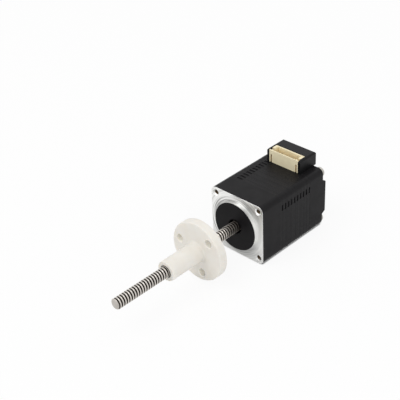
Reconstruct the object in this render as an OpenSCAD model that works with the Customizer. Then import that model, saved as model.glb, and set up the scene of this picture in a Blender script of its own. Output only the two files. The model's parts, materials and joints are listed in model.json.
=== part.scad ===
// Stepper motor with lead screw and travelling flange nut.
// Millimetres. The origin is the centre of the front mounting face, on the screw's axis.
// The screw runs towards -Y, the motor body towards +Y, and the connector is on top, +Z.

/* [Motor frame] */
// Width and height of the square frame
frame_w = 28.2; // [27.8:0.1:29.5]
// Radius of the frame's long corners
corner_r = 2.5; // [1.5:0.1:3]
// Length of the front end bell behind the mounting face
front_bell_len = 11; // [10.5:0.1:13]
// Length of the lamination stack
stack_len = 19.5; // [16:0.5:30]
// Length of the rear end bell up to the screw head seats
rear_bell_len = 8.9; // [8.5:0.1:11]
// How far the rear lobes stand behind the screw head seats
rear_lobe_h = 1.9; // [1.7:0.1:2.5]
// How far the flanks of the rear lobes slope in
lobe_flank = 1; // [0.5:0.1:1.5]
// Wall of the end bells around the winding space
bell_wall = 1.3; // [1.1:0.1:1.6]
// Thickness of the rear wall behind the bearing
rear_wall = 1.6; // [1.3:0.1:1.8]

/* [Mounting face] */
// Distance of the mounting hole axes from the frame's sides
hole_inset = 2.6; // [2.4:0.05:2.9]
// Diameter of the mounting holes
mount_hole_d = 2.5; // [2.2:0.1:3]
// Depth of the mounting holes
mount_hole_depth = 4.5; // [3:0.1:5]
// Diameter of the centring boss
pilot_d = 22; // [18:0.5:22.5]
// Height of the centring boss
pilot_h = 1.6; // [1:0.1:2.5]

/* [Tie screws] */
// Diameter of the tie screws
tie_d = 2; // [1.6:0.1:2.2]
// Diameter of the tie screw heads
tie_head_d = 4.4; // [3.6:0.1:4.8]
// Height of the tie screw heads
tie_head_h = 1.6; // [1.2:0.1:1.8]
// Gap between the mounting holes and the tips of the tie screws
tie_tip_gap = 0.7; // [0.3:0.1:2]
// Room between the screw heads and the rear lobes
head_room = 0.8; // [0.3:0.1:2]

/* [Stator and rotor] */
// Groups of sheets in the stack, each turned a quarter from the last
sheet_groups = 20; // [10:2:24]
// Distance of the sheets' index notches from the middle of a side
notch_offset = 8.3; // [6:0.1:9]
// Length of the index notches
notch_w = 2.8; // [1.5:0.1:3]
// Depth of the index notches
notch_depth = 0.3; // [0.1:0.05:0.4]
// Height of the coils along their poles
coil_h = 1.56; // [1.2:0.02:2]
// Half of the angle that a coil takes up at its outer corners
coil_angle = 16.5; // [14:0.5:18]
// Gap between rotor teeth and stator teeth
air_gap = 0.08; // [0.06:0.01:0.15]
// Teeth around the rotor
rotor_teeth = 50; // [40:2:60]
// Teeth on each stator pole
pole_teeth = 5; // [3:1:5]
// Depth of the teeth
tooth_depth = 0.6; // [0.4:0.05:0.8]
// Thickness of the pole shoes behind their teeth
shoe_t = 0.82; // [0.6:0.02:1]
// Width of the pole shanks
pole_w = 3; // [2.4:0.1:3.4]
// Thickness of the rotor magnet
magnet_t = 1.5; // [1:0.1:3]
// How far the rotor magnet lies inside the rotor teeth
magnet_inset = 1.5; // [1:0.1:3]
// Height of the winding frames beyond the stack
frame_h = 4.3; // [3.8:0.1:4.6]
// Thickness of the winding frames' end plates
frame_plate_t = 0.8; // [0.6:0.1:1]
// Wall of the winding frames
frame_wall = 0.65; // [0.5:0.05:0.8]
// Slot insulation beside each pole
liner_t = 0.25; // [0.2:0.05:0.35]

/* [Bearings] */
// Outer diameter of the ball bearings
bearing_od = 11; // [10.4:0.1:12]
// Width of the ball bearings
bearing_w = 4; // [3.6:0.1:4.2]
// Balls in each bearing
ball_count = 7; // [5:1:8]
// Height of the preload washer in its pocket
washer_h = 0.5; // [0.4:0.05:0.7]

/* [Lead screw and nut] */
// Outer diameter of the lead screw
screw_d = 4.77; // [4.4:0.01:5.2]
// Length of the lead screw in front of the mounting face
screw_reach = 68.6; // [60:0.1:120]
// Travel of the nut for one turn of the screw
screw_lead = 1.27; // [1.1:0.01:2]
// Depth of the thread's groove
thread_depth = 0.56; // [0.3:0.02:0.7]
// Width of the thread's crest along the screw
crest_w = 0.5; // [0.3:0.02:0.6]
// Width of the groove's floor along the screw
groove_w = 0.38; // [0.2:0.02:0.45]
// Flat sides round one turn of the thread
thread_sides = 16; // [12:2:20]
// Taper at the screw's free end
tip_taper = 0.4; // [0.2:0.05:0.8]
// Shoulder from the thread up to the bearing seats
shoulder_h = 0.115; // [0.08:0.005:0.2]
// Distance of the nut flange's front face from the mounting face at rest
nut_station = 24.4; // [22:0.1:30]
// Diameter of the nut's flange
nut_flange_d = 26.4; // [24:0.1:28]
// Thickness of the nut's flange
nut_flange_t = 4; // [3:0.1:5]
// Diameter of the circle through the nut's holes
nut_hole_circle = 19.05; // [17:0.05:20]
// Diameter of the nut's holes
nut_hole_d = 3.6; // [3:0.1:4]
// Number of holes in the nut's flange
nut_hole_count = 3; // [3:1:4]
// Diameter of the nut's barrel
nut_barrel_d = 8.8; // [8:0.1:11]
// Length of the nut's barrel in front of the flange
nut_barrel_len = 17.4; // [12:0.1:25]
// Fillet where the barrel meets the flange
nut_fillet_r = 1; // [0.4:0.1:1.5]
// Taper at the mouths of the nut's bore
nut_mouth = 0.55; // [0.3:0.05:0.8]

/* [Connector] */
// Distance from the last contact to the end of the header
header_margin = 2.8; // [2.4:0.1:3.2]
// Depth of the connector header off its board
header_depth = 4.9; // [4.6:0.1:5.4]
// Height of the connector header
header_h = 5.95; // [5.5:0.05:7]
// Wall of the header's front
header_front_wall = 1.1; // [0.8:0.05:1.3]
// Wall of the header's back
header_wall = 0.8; // [0.6:0.05:1]
// Thickness of the header's ends
header_end = 1.7; // [1.5:0.1:2]
// Thickness of the header's floor
header_floor = 1.2; // [1:0.1:1.6]
// Number of contacts
contact_count = 6; // [4:1:6]
// Spacing of the contacts
contact_pitch = 2; // [1.8:0.1:2]
// Thickness of the square contacts
contact_t = 0.5; // [0.4:0.05:0.6]
// Thickness of the circuit board
board_t = 0.8; // [0.6:0.1:1]
// Width of the connector cover beside the header
cover_cheek = 1.2; // [1:0.1:2]
// How far the connector cover stands above the header
cover_rise = 0.2; // [0.1:0.1:1]
// Distance from the back of the cover to the back of the motor
cover_setback = 0.6; // [0.3:0.1:2]
// Rounding of the cover's upper edges
cover_round = 1; // [0.6:0.1:1.5]
// Thickness of the cover's roof
cover_roof = 1; // [0.7:0.1:1.2]

/* [Fits] */
// Gap of pressed and seated pieces, all round
seat_gap = 0.02; // [0.01:0.01:0.04]
// Radial gap of running fits
running_gap = 0.05; // [0.03:0.01:0.08]
// Gap between loosely fitted pieces
loose_gap = 0.2; // [0.1:0.05:0.3]

/* [Hidden] */
$fn = 64;

// Finishes
cast_black = "#2b2b2e";
stack_black = "#333338";
steel = "silver";
dark_steel = "#77787c";
copper = "#b5713c";
nylon_black = "#232325";
nylon_natural = "#dcd3b4";
nut_ivory = "#e6e3d8";
board_green = "#1f4a35";
contact_tin = "#c9c6bd";

// Stations along the axis, measured from the mounting face
half_w = frame_w / 2;
hole_spacing = frame_w - 2 * hole_inset;
stack_front = front_bell_len;
stack_back = stack_front + stack_len;
head_seat = stack_back + rear_bell_len;
motor_back = head_seat + rear_lobe_h;
pocket_back = motor_back - rear_wall;
end_gap = 1.5 * loose_gap;
front_space = stack_front - frame_h - end_gap;
board_front = stack_back + frame_h;
board_back = board_front + board_t;
rear_space = board_back + 2 * end_gap;

// Winding space
space_r = half_w - bell_wall;
ring_out = space_r - loose_gap;
ring_in = ring_out - frame_wall;
ring_seat = 0.6 * frame_wall;
yoke_in = ring_out - ring_seat;

// Poles, coils and rotor
pole_count = 8;
pole_step = 360 / pole_count;
tooth_step = 360 / rotor_teeth;
coil_corner = ring_in - loose_gap / 2;
coil_half = coil_corner * sin(coil_angle);
coil_high = coil_corner * cos(coil_angle);
coil_low = coil_high - coil_h;
shoe_out = coil_low - end_gap;
shoe_in = shoe_out - shoe_t;
stator_in = shoe_in - tooth_depth;
rotor_r = stator_in - air_gap;
tooth_share = 0.45;
tooth_w = tooth_share * tooth_step * rotor_r * PI / 180;
shoe_margin = 0.1;
shoe_half_angle = (pole_teeth / 2 + shoe_margin) * tooth_step;
liner_in = pole_w / 2 + seat_gap;
liner_out = liner_in + liner_t;
coil_in = liner_out + seat_gap;
coil_t = coil_half - coil_in;
coil_round = 0.6 * coil_t;
rotor_front = stack_front + end_gap;
rotor_back = stack_back - end_gap;
magnet_front = (rotor_front + rotor_back - magnet_t) / 2;

// Thread of the screw
thread_r = screw_d / 2;
flank_w = (screw_lead - crest_w - groove_w) / 2;
crest_mid = groove_w + flank_w + crest_w / 2;
tip_r = thread_r - tip_taper;

// Bearings
shaft_r = thread_r + shoulder_h;
bearing_r = bearing_od / 2;
ball_circle_r = (bearing_r + shaft_r) / 2;
ball_r = (bearing_r - shaft_r) / 4;
groove_r = ball_r + running_gap / 2;
race_gap = 0.72 * ball_r;
cage_half = 1.4 * ball_r;
inner_race_r = ball_circle_r - race_gap;
outer_race_r = ball_circle_r + race_gap;
shield_t = 0.2;
shield_seat = 0.2;
front_bearing = front_space - loose_gap - bearing_w;
rear_bearing = pocket_back - washer_h - bearing_w;
pocket_r = bearing_r + seat_gap;
boss_wall = 1.5;
boss_r = bearing_r + boss_wall;
spacer_wall = 0.8;
spacer_r = shaft_r + spacer_wall;

// Terminals in the rear winding frame
terminal_d = 0.6;
terminal_foot = 1;
lug_r = 0.75;
lug_root = 0.1;
lug_circle = ring_in - lug_r + lug_root;
terminal_angles = [for (k = [-1.5, -0.5, 0.5, 1.5, -2.5, 2.5]) 90 + k * pole_step];

// Nut
nut_bore_r = thread_r + running_gap;
nut_front = -nut_station;
nut_back = nut_front + nut_flange_t;
nut_tip = nut_front - nut_barrel_len;
nut_hole_start = 45;
edge_break = 0.4;

// Connector and its cover
header_w = (contact_count - 1) * contact_pitch + 2 * header_margin;
header_front = board_front - header_depth;
header_low = half_w + loose_gap / 2;
header_high = header_low + header_h;
cavity_half = header_w / 2 - header_end;
cavity_front = header_front + header_front_wall;
cavity_back = board_front - header_wall;
contact_y = (cavity_front + cavity_back) / 2;
contact_low = header_low + 0.35 * header_floor;
contact_h = 0.72 * header_h;
key_w = 1;
key_h = 0.45 * header_h;
anchor_t = 0.3;
anchor_h = 3.7;
anchor_x = cavity_half + (header_end - anchor_t) / 2;
cover_w = header_w + 2 * cover_cheek;
cover_high = header_high + cover_rise;
tongue_in = 0.6;
board_tongue_half = header_w / 2 - tongue_in;
board_high = cover_high - cover_roof - loose_gap;
cover_low = half_w + seat_gap;
cover_front = header_front + seat_gap;
cover_back = motor_back - cover_setback;
leg_in = board_tongue_half + loose_gap;
leg_out = cover_w / 2 - 0.5;
leg_depth = 2.2;
leg_root = 1;
notch_half = leg_out + loose_gap / 2;
board_slot = 12 * loose_gap;

// How far a cut runs past the face it opens
cut = 1;

// A front view drawn in X and Z, made into a plate from one station to another
module slab(from, to) {
    translate([0, to, 0]) rotate([90, 0, 0]) linear_extrude(to - from) children();
}

// A profile of radius against station, turned about the screw's axis
module turned() {
    rotate([-90, 0, 0]) rotate_extrude() children();
}

// A round rod or drilled hole along the axis
module rod(r, from, to) {
    translate([0, from, 0]) rotate([-90, 0, 0]) cylinder(r = r, h = to - from);
}

// A turned ring
module ring(inner, outer, from, to) {
    turned() translate([inner, from]) square([outer - inner, to - from]);
}

module rounded_rect(w, h, r) {
    square([w, h - 2 * r], center = true);
    square([w - 2 * r, h], center = true);
    for (sx = [-1, 1], sy = [-1, 1]) translate([sx * (w / 2 - r), sy * (h / 2 - r)]) circle(r);
}

module frame_outline() {
    rounded_rect(frame_w, frame_w, corner_r);
}

// A copy at each of the four corner screw axes
module at_corners() {
    for (sx = [-1, 1], sz = [-1, 1]) translate([sx, 0, sz] * hole_spacing / 2) children();
}

// Part of a ring in the front view, centred on the X axis
module ring_sector(inner, outer, half_angle) {
    reach = 2 * outer;
    intersection() {
        difference() {
            circle(outer);
            circle(inner);
        }
        polygon([
            [inner / 4, -inner / 4 * tan(half_angle)], [reach, -reach * tan(half_angle)],
            [reach, reach * tan(half_angle)], [inner / 4, inner / 4 * tan(half_angle)]
        ]);
    }
}

// Front cover of the motor, with the mounting face, centring boss and bearing pocket
module front_end_bell() {
    color(cast_black) difference() {
        union() {
            slab(0, stack_front) frame_outline();
            rod(pilot_d / 2, -pilot_h, mount_hole_depth / 2);
        }
        rod(shaft_r + 4 * loose_gap, -pilot_h - cut, front_bearing + cut);
        rod(pocket_r, front_bearing, front_space + cut);
        rod(space_r, front_space, stack_front + cut);
        at_corners() {
            rod(mount_hole_d / 2, -cut, mount_hole_depth);
            rod(tie_d / 2, mount_hole_depth - cut, stack_front + cut);
        }
    }
}

// One lamination: square yoke, eight poles and their teeth
module lamination() {
    difference() {
        frame_outline();
        circle(yoke_in);
        for (sx = [-1, 1], sz = [-1, 1])
            translate([sx, sz] * hole_spacing / 2) circle(tie_d / 2 + loose_gap);
    }
    for (k = [0 : pole_count - 1]) rotate(k * pole_step) {
        translate([(shoe_in + shoe_out) / 2, -pole_w / 2]) square([yoke_in - shoe_in, pole_w]);
        ring_sector(shoe_in, shoe_out, shoe_half_angle);
        for (t = [0 : pole_teeth - 1]) rotate((t - (pole_teeth - 1) / 2) * tooth_step)
            translate([stator_in, -tooth_w / 2]) square([tooth_depth + shoe_t / 2, tooth_w]);
    }
}

// Index notches in two opposite sides of each group of sheets
module sheet_notches() {
    group_t = stack_len / sheet_groups;
    for (k = [0 : sheet_groups - 1], half_turn = [0, 180])
        rotate([0, half_turn - 90 * ((k + 1) % 2), 0])
            translate([half_w - notch_depth, stack_front + k * group_t, notch_offset - notch_w / 2])
                cube([notch_depth + cut, group_t, notch_w]);
}

module stator_stack() {
    color(stack_black) difference() {
        slab(stack_front, stack_back) lamination();
        sheet_notches();
    }
}

// Insulating frame on one end of the stack, drawn for the rear end
module winding_frame() {
    inset = 0.05;
    inner_half_angle = 0.92 * shoe_half_angle;
    inner_from = shoe_in + inset;
    inner_to = shoe_out - inset;
    arm_from = (inner_from + inner_to) / 2;
    liner_reach = 0.45 * stack_len;
    slab(stack_back, stack_back + frame_plate_t) {
        for (k = [0 : pole_count - 1]) rotate(k * pole_step)
            translate([arm_from, -liner_out])
                square([ring_in + frame_wall / 2 - arm_from, 2 * liner_out]);
    }
    slab(stack_back, board_front) {
        difference() {
            circle(ring_out);
            circle(ring_in);
        }
        for (k = [0 : pole_count - 1]) rotate(k * pole_step)
            ring_sector(inner_from, inner_to, inner_half_angle);
    }
    slab(stack_back - liner_reach, stack_back + frame_plate_t / 2) {
        for (k = [0 : pole_count - 1], side = [-1, 1]) rotate(k * pole_step)
            translate([shoe_out + inset, side * (liner_in + liner_out) / 2 - liner_t / 2])
                square([ring_in - shoe_out - 2 * inset, liner_t]);
    }
}

module front_winding_frame() {
    color(nylon_black) translate([0, stack_front + stack_back, 0]) mirror([0, 1, 0]) winding_frame();
}

module at_terminals() {
    for (a = terminal_angles) rotate([0, -a, 0]) translate([lug_circle, 0, 0]) children();
}

module rear_winding_frame() {
    color(nylon_black) difference() {
        union() {
            winding_frame();
            at_terminals() rod(lug_r, stack_back + seat_gap, board_front);
        }
        at_terminals() rod(terminal_d / 2 + seat_gap, stack_back + terminal_foot, board_front + cut);
    }
}

module winding_terminals() {
    foot = stack_back + terminal_foot + seat_gap;
    color(contact_tin) at_terminals() rod(terminal_d / 2, foot, rear_space - loose_gap);
}

// One coil of copper wire round a pole, as a closed block with round corners
module coil() {
    end_in = frame_plate_t + seat_gap;
    rotate([0, 90, 0]) translate([0, (stack_front + stack_back) / 2, coil_low])
        linear_extrude(coil_high - coil_low) difference() {
            rounded_rect(2 * coil_half, stack_len + 2 * (end_in + coil_t), coil_round);
            square([2 * coil_in, stack_len + 2 * end_in], center = true);
        }
}

module phase_coils(first) {
    color(copper) for (k = [first : 2 : pole_count - 1]) rotate([0, -k * pole_step, 0]) coil();
}

module phase_a_coils() {
    phase_coils(0);
}

module phase_b_coils() {
    phase_coils(1);
}

// Board that joins the winding ends to the connector, with a tongue up into the cover
module circuit_board() {
    color(board_green) difference() {
        slab(board_front, board_back) difference() {
            union() {
                circle(ring_out - loose_gap / 2);
                translate([-board_tongue_half, 0]) square([2 * board_tongue_half, board_high]);
            }
            circle(boss_r + 2 * loose_gap);
        }
        at_terminals() rod(terminal_d / 2 + loose_gap / 2, board_front - cut, board_back + cut);
    }
}

// Places of the contacts along the connector
module at_contacts() {
    for (k = [0 : contact_count - 1])
        translate([(k - (contact_count - 1) / 2) * contact_pitch, 0, 0]) children();
}

// Connector body that opens upwards, with keyed ends and slots for its two anchors
module connector_header() {
    slot = contact_t + 2 * seat_gap;
    color(nylon_natural) difference() {
        translate([-header_w / 2, header_front, header_low]) cube([header_w, header_depth, header_h]);
        translate([-cavity_half, cavity_front, header_low + header_floor])
            cube([2 * cavity_half, cavity_back - cavity_front, header_h]);
        translate([-header_w / 2 - cut, cavity_front, header_high - key_h])
            cube([header_w + 2 * cut, key_w, header_h]);
        at_contacts() translate([-slot / 2, contact_y - slot / 2, header_low - cut])
            cube([slot, board_front, header_floor + 2 * cut]);
        for (side = [-1, 1]) translate([side * anchor_x, 0, 0])
            translate([-anchor_t / 2 - seat_gap, header_front - cut, header_low - cut])
                cube([anchor_t + 2 * seat_gap, header_depth + 2 * cut, anchor_h + cut + loose_gap]);
    }
}

// Square contacts: a post up the socket and a tail back to the board
module connector_pins() {
    color(contact_tin) at_contacts() {
        translate([-contact_t / 2, contact_y - contact_t / 2, contact_low])
            cube([contact_t, contact_t, contact_h]);
        translate([-contact_t / 2, contact_y - contact_t / 2, contact_low])
            cube([contact_t, board_front - contact_y + contact_t / 2, contact_t]);
    }
}

// Flat metal anchors that hold the header's ends to the board
module connector_anchors() {
    color(contact_tin) for (side = [-1, 1]) translate([side * anchor_x, 0, 0])
        translate([-anchor_t / 2, header_front + header_wall / 2, header_low + seat_gap])
            cube([anchor_t, header_depth - header_wall / 2, anchor_h]);
}

// Outline of the cover from the front, with round upper corners
module cover_outline() {
    translate([-cover_w / 2, cover_low]) square([cover_w, cover_high - cover_round - cover_low]);
    translate([cover_round - cover_w / 2, cover_low])
        square([cover_w - 2 * cover_round, cover_high - cover_low]);
    for (side = [-1, 1])
        translate([side * (cover_w / 2 - cover_round), cover_high - cover_round]) circle(cover_round);
}

// Outline of the cover from the side, with a round upper corner at the back
module cover_profile() {
    translate([cover_front, cover_low])
        square([cover_back - cover_front, cover_high - cover_round - cover_low]);
    translate([cover_front, cover_low])
        square([cover_back - cover_round - cover_front, cover_high - cover_low]);
    translate([cover_back - cover_round, cover_high - cover_round]) circle(cover_round);
}

// Moulded cover round the header and over the board, clipped into the rear end bell
module connector_cover() {
    pocket_half = header_w / 2 + loose_gap / 2;
    color(nylon_black) {
        difference() {
            intersection() {
                slab(cover_front, cover_back) cover_outline();
                rotate([90, 0, 90]) linear_extrude(cover_w, center = true) cover_profile();
            }
            translate([-pocket_half, cover_front - cut, half_w - cut])
                cube([2 * pocket_half, board_front + seat_gap - cover_front + cut, cover_high]);
            translate([-leg_in, board_front - loose_gap, half_w - cut])
                cube([2 * leg_in, board_t + board_slot, board_high + loose_gap - half_w + cut]);
        }
        for (side = [-1, 1]) translate([side * (leg_in + leg_out) / 2, 0, 0])
            translate([(leg_in - leg_out) / 2, board_front + seat_gap, half_w - leg_depth])
                cube([leg_out - leg_in, board_t + loose_gap, leg_depth + leg_root]);
    }
}

// Two crossing lobes on the back, with sloping flanks beside the screw heads
module rear_lobes() {
    lobe_base = hole_spacing / 2 - tie_head_d / 2 - head_room;
    lobe_top = lobe_base - lobe_flank;
    for (turn = [0, 90]) rotate([0, turn, 0]) intersection() {
        slab(stack_back, motor_back) frame_outline();
        translate([0, 0, -half_w]) linear_extrude(frame_w) polygon([
            [-lobe_base, head_seat - cut], [lobe_base, head_seat - cut],
            [lobe_base, head_seat], [lobe_top, motor_back],
            [-lobe_top, motor_back], [-lobe_base, head_seat]
        ]);
    }
}

// Rear cover of the motor, with the bearing boss and the notch that the board passes through
module rear_end_bell() {
    color(cast_black) difference() {
        union() {
            difference() {
                union() {
                    slab(stack_back, head_seat) frame_outline();
                    rear_lobes();
                }
                rod(space_r, stack_back - cut, rear_space);
            }
            rod(boss_r, rear_bearing - loose_gap, pocket_back);
        }
        rod(pocket_r, rear_bearing - cut, pocket_back);
        at_corners() rod(tie_d / 2 + loose_gap, stack_back - cut, head_seat + cut);
        translate([-notch_half, stack_back - cut, ring_in / 2])
            cube([2 * notch_half, rear_space + cut - stack_back, half_w]);
    }
}

// Pan head screws that clamp the two bells on the stack
module tie_screws() {
    shank_r = tie_d / 2 - seat_gap;
    head_r = tie_head_d / 2;
    crown_r = 0.9 * head_r;
    crown_h = 0.8 * tie_head_h;
    flat_r = 0.65 * head_r;
    tip = mount_hole_depth + tie_tip_gap;
    color(steel) at_corners() turned() polygon([
        [0, tip], [shank_r - edge_break / 2, tip], [shank_r, tip + edge_break / 2],
        [shank_r, head_seat], [head_r, head_seat], [head_r, head_seat + tie_head_h / 2],
        [crown_r, head_seat + crown_h], [flat_r, head_seat + tie_head_h], [0, head_seat + tie_head_h]
    ]);
}

// Wave spring that presses the rear bearing forwards
module preload_washer() {
    waves = 3;
    steps = 48;
    leaf = 0.2;
    inner = inner_race_r + 2 * loose_gap;
    outer = bearing_r - loose_gap / 2;
    lift = (washer_h - leaf) / 2 - seat_gap;
    middle = pocket_back - washer_h / 2;
    function place(k, r, side) = [
        r * cos(360 * k / steps),
        middle + lift * cos(360 * waves * k / steps) + side * leaf / 2,
        r * sin(360 * k / steps)
    ];
    corners = [
        for (k = [0 : steps - 1]) each
            [place(k, inner, -1), place(k, outer, -1), place(k, outer, 1), place(k, inner, 1)]
    ];
    faces = [
        for (k = [0 : steps - 1], c = [0 : 3])
            let (a = 4 * k + c, b = 4 * k + (c + 1) % 4, far = 4 * ((k + 1) % steps))
                each [[a, b, far + (c + 1) % 4], [a, far + (c + 1) % 4, far + c]]
    ];
    color(dark_steel) polyhedron(points = corners, faces = faces);
}

// Ball bearing pieces, each drawn with the bearing's front face at the given station
module outer_race(from) {
    middle = from + bearing_w / 2;
    seat = shield_t + 3 * seat_gap;
    difference() {
        ring(outer_race_r, bearing_r, from, from + bearing_w);
        turned() translate([ball_circle_r, middle]) circle(groove_r);
        rod(outer_race_r + shield_seat, from - cut, from + seat);
        rod(outer_race_r + shield_seat, from + bearing_w - seat, from + bearing_w + cut);
    }
}

module inner_race(from) {
    difference() {
        ring(shaft_r + seat_gap, inner_race_r, from, from + bearing_w);
        turned() translate([ball_circle_r, from + bearing_w / 2]) circle(groove_r);
    }
}

module shields(from) {
    inner = inner_race_r + 2 * running_gap;
    outer = outer_race_r + shield_seat - seat_gap;
    for (face = [from + seat_gap, from + bearing_w - shield_t - seat_gap])
        ring(inner, outer, face, face + shield_t);
}

module at_balls(from) {
    for (k = [0 : ball_count - 1]) rotate([0, k * 360 / ball_count, 0])
        translate([ball_circle_r, from + bearing_w / 2, 0]) children();
}

module balls(from) {
    at_balls(from) sphere(ball_r);
}

module cage(from) {
    middle = from + bearing_w / 2;
    difference() {
        ring(ball_circle_r - race_gap / 2, ball_circle_r + race_gap / 2,
            middle - cage_half, middle + cage_half);
        at_balls(from) rotate([0, 90, 0]) cylinder(r = groove_r, h = 2 * race_gap, center = true);
    }
}

module front_bearing_outer_race() {
    color(steel) outer_race(front_bearing);
}

module front_bearing_inner_race() {
    color(steel) inner_race(front_bearing);
}

module front_bearing_shields() {
    color(dark_steel) shields(front_bearing);
}

module front_bearing_balls() {
    color(steel) balls(front_bearing);
}

module front_bearing_cage() {
    color(dark_steel) cage(front_bearing);
}

module rear_bearing_outer_race() {
    color(steel) outer_race(rear_bearing);
}

module rear_bearing_inner_race() {
    color(steel) inner_race(rear_bearing);
}

module rear_bearing_shields() {
    color(dark_steel) shields(rear_bearing);
}

module rear_bearing_balls() {
    color(steel) balls(rear_bearing);
}

module rear_bearing_cage() {
    color(dark_steel) cage(rear_bearing);
}

// Rod with a left handed thread: four lines of points wound round the axis, and a fan at each end
module threaded_rod(from, to) {
    first = floor(from / screw_lead);
    turns = ceil(to / screw_lead) - first;
    last = turns * thread_sides;
    start = first * screw_lead - crest_mid;
    root_r = thread_r - thread_depth;
    lines = [
        [root_r, 0], [root_r, groove_w],
        [thread_r, groove_w + flank_w], [thread_r, groove_w + flank_w + crest_w]
    ];
    wound = [
        for (i = [0 : last]) for (line = lines)
            let (turn = i / thread_sides)
            [line[0] * cos(360 * turn), start + turn * screw_lead + line[1], line[0] * sin(360 * turn)]
    ];
    hubs = [[0, start + screw_lead / 2, 0], [0, start + (turns + 0.5) * screw_lead, 0]];
    row = len(lines);
    lap = row * thread_sides;
    end = row * last;
    front_hub = len(wound);
    back_hub = front_hub + 1;
    strips = [
        for (i = [0 : last - 1]) for (k = [0 : row - 2])
            let (a = row * i + k) [a, a + row, a + row + 1, a + 1]
    ];
    seams = [
        for (i = [0 : last - thread_sides - 1])
            let (a = row * i + row - 1, b = row * i + lap) [a, a + row, b + row, b]
    ];
    halves = [for (q = concat(strips, seams)) each [[q[0], q[1], q[2]], [q[0], q[2], q[3]]]];
    front_fan = concat(
        [for (i = [0 : thread_sides - 1]) [row * (i + 1), row * i, front_hub]],
        [for (k = [0 : row - 2]) [k, k + 1, front_hub]],
        [[row - 1, lap, front_hub]]
    );
    back_fan = concat(
        [for (i = [1 : thread_sides]) [end - row * i + row - 1, end - row * i + 2 * row - 1, back_hub]],
        [for (k = [0 : row - 2]) [end + k + 1, end + k, back_hub]],
        [[end, end - lap + row - 1, back_hub]]
    );
    polyhedron(concat(wound, hubs), concat(halves, front_fan, back_fan));
}

// Screw and motor shaft in one piece: thread with a tapered end outside, plain seats inside the motor
module lead_screw() {
    seat_front = front_bearing - loose_gap;
    seat_back = rear_bearing + bearing_w - loose_gap;
    run_in = 2 * screw_lead;
    color(steel) union() {
        intersection() {
            threaded_rod(-screw_reach - run_in, seat_front + screw_lead);
            turned() polygon([
                [0, -screw_reach], [tip_r, -screw_reach], [shaft_r, shaft_r - tip_r - screw_reach],
                [shaft_r, seat_front + 2 * run_in], [0, seat_front + 2 * run_in]
            ]);
        }
        turned() polygon([
            [0, seat_front], [shaft_r, seat_front], [shaft_r, seat_back - edge_break],
            [shaft_r - edge_break, seat_back], [0, seat_back]
        ]);
    }
}

// Toothed half of the rotor
module rotor_core(from, to, turn) {
    tooth_root = rotor_r - 1.5 * tooth_depth;
    color(dark_steel) slab(from, to) rotate(turn) difference() {
        union() {
            circle(rotor_r - tooth_depth);
            for (k = [0 : rotor_teeth - 1]) rotate(k * tooth_step)
                translate([tooth_root, -tooth_w / 2]) square([rotor_r - tooth_root, tooth_w]);
        }
        circle(shaft_r + seat_gap);
    }
}

module rotor_front_core() {
    rotor_core(rotor_front, magnet_front, 0);
}

// The rear half stands half a tooth round from the front half
module rotor_rear_core() {
    rotor_core(magnet_front + magnet_t, rotor_back, tooth_step / 2);
}

module rotor_magnet() {
    outer = rotor_r - magnet_inset;
    color(dark_steel) ring(shaft_r + seat_gap, outer, magnet_front, magnet_front + magnet_t);
}

module front_spacer() {
    color(steel) ring(shaft_r + seat_gap, spacer_r, front_bearing + bearing_w, rotor_front);
}

module rear_spacer() {
    color(steel) ring(shaft_r + seat_gap, spacer_r, rotor_back, rear_bearing);
}

// Flanged plastic nut that travels along the screw
module flange_nut() {
    flange_r = nut_flange_d / 2;
    barrel_r = nut_barrel_d / 2;
    fillet_step = 15;
    fillet = [
        for (a = [0 : fillet_step : 90])
            [barrel_r + nut_fillet_r * (1 - sin(a)), nut_front - nut_fillet_r * (1 - cos(a))]
    ];
    color(nut_ivory) difference() {
        turned() polygon(concat(
            [
                [nut_bore_r + nut_mouth, nut_back], [flange_r - edge_break, nut_back],
                [flange_r, nut_back - edge_break], [flange_r, nut_front + edge_break],
                [flange_r - edge_break, nut_front]
            ],
            fillet,
            [
                [barrel_r, nut_tip + edge_break], [barrel_r - edge_break, nut_tip],
                [nut_bore_r + nut_mouth, nut_tip], [nut_bore_r, nut_tip + nut_mouth],
                [nut_bore_r, nut_back - nut_mouth]
            ]
        ));
        for (k = [0 : nut_hole_count - 1])
            rotate([0, -nut_hole_start - k * 360 / nut_hole_count, 0])
                translate([nut_hole_circle / 2, 0, 0])
                    rod(nut_hole_d / 2, nut_front - cut, nut_back + cut);
    }
}

front_end_bell();
stator_stack();
front_winding_frame();
rear_winding_frame();
phase_a_coils();
phase_b_coils();
winding_terminals();
circuit_board();
connector_header();
connector_pins();
connector_anchors();
connector_cover();
rear_end_bell();
tie_screws();
preload_washer();
front_bearing_outer_race();
front_bearing_shields();
rear_bearing_outer_race();
rear_bearing_shields();
lead_screw();
rotor_front_core();
rotor_magnet();
rotor_rear_core();
front_bearing_inner_race();
rear_bearing_inner_race();
front_spacer();
rear_spacer();
front_bearing_balls();
front_bearing_cage();
rear_bearing_balls();
rear_bearing_cage();
flange_nut();
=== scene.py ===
"""Dresses the solids of a stepper motor with lead screw, and sets the stage for its picture."""
import json
import math
from contextlib import contextmanager

import bmesh
import bpy
import numpy as np
from bpy.props import FloatProperty, FloatVectorProperty, IntProperty, PointerProperty
from mathutils import Matrix, Vector


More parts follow.
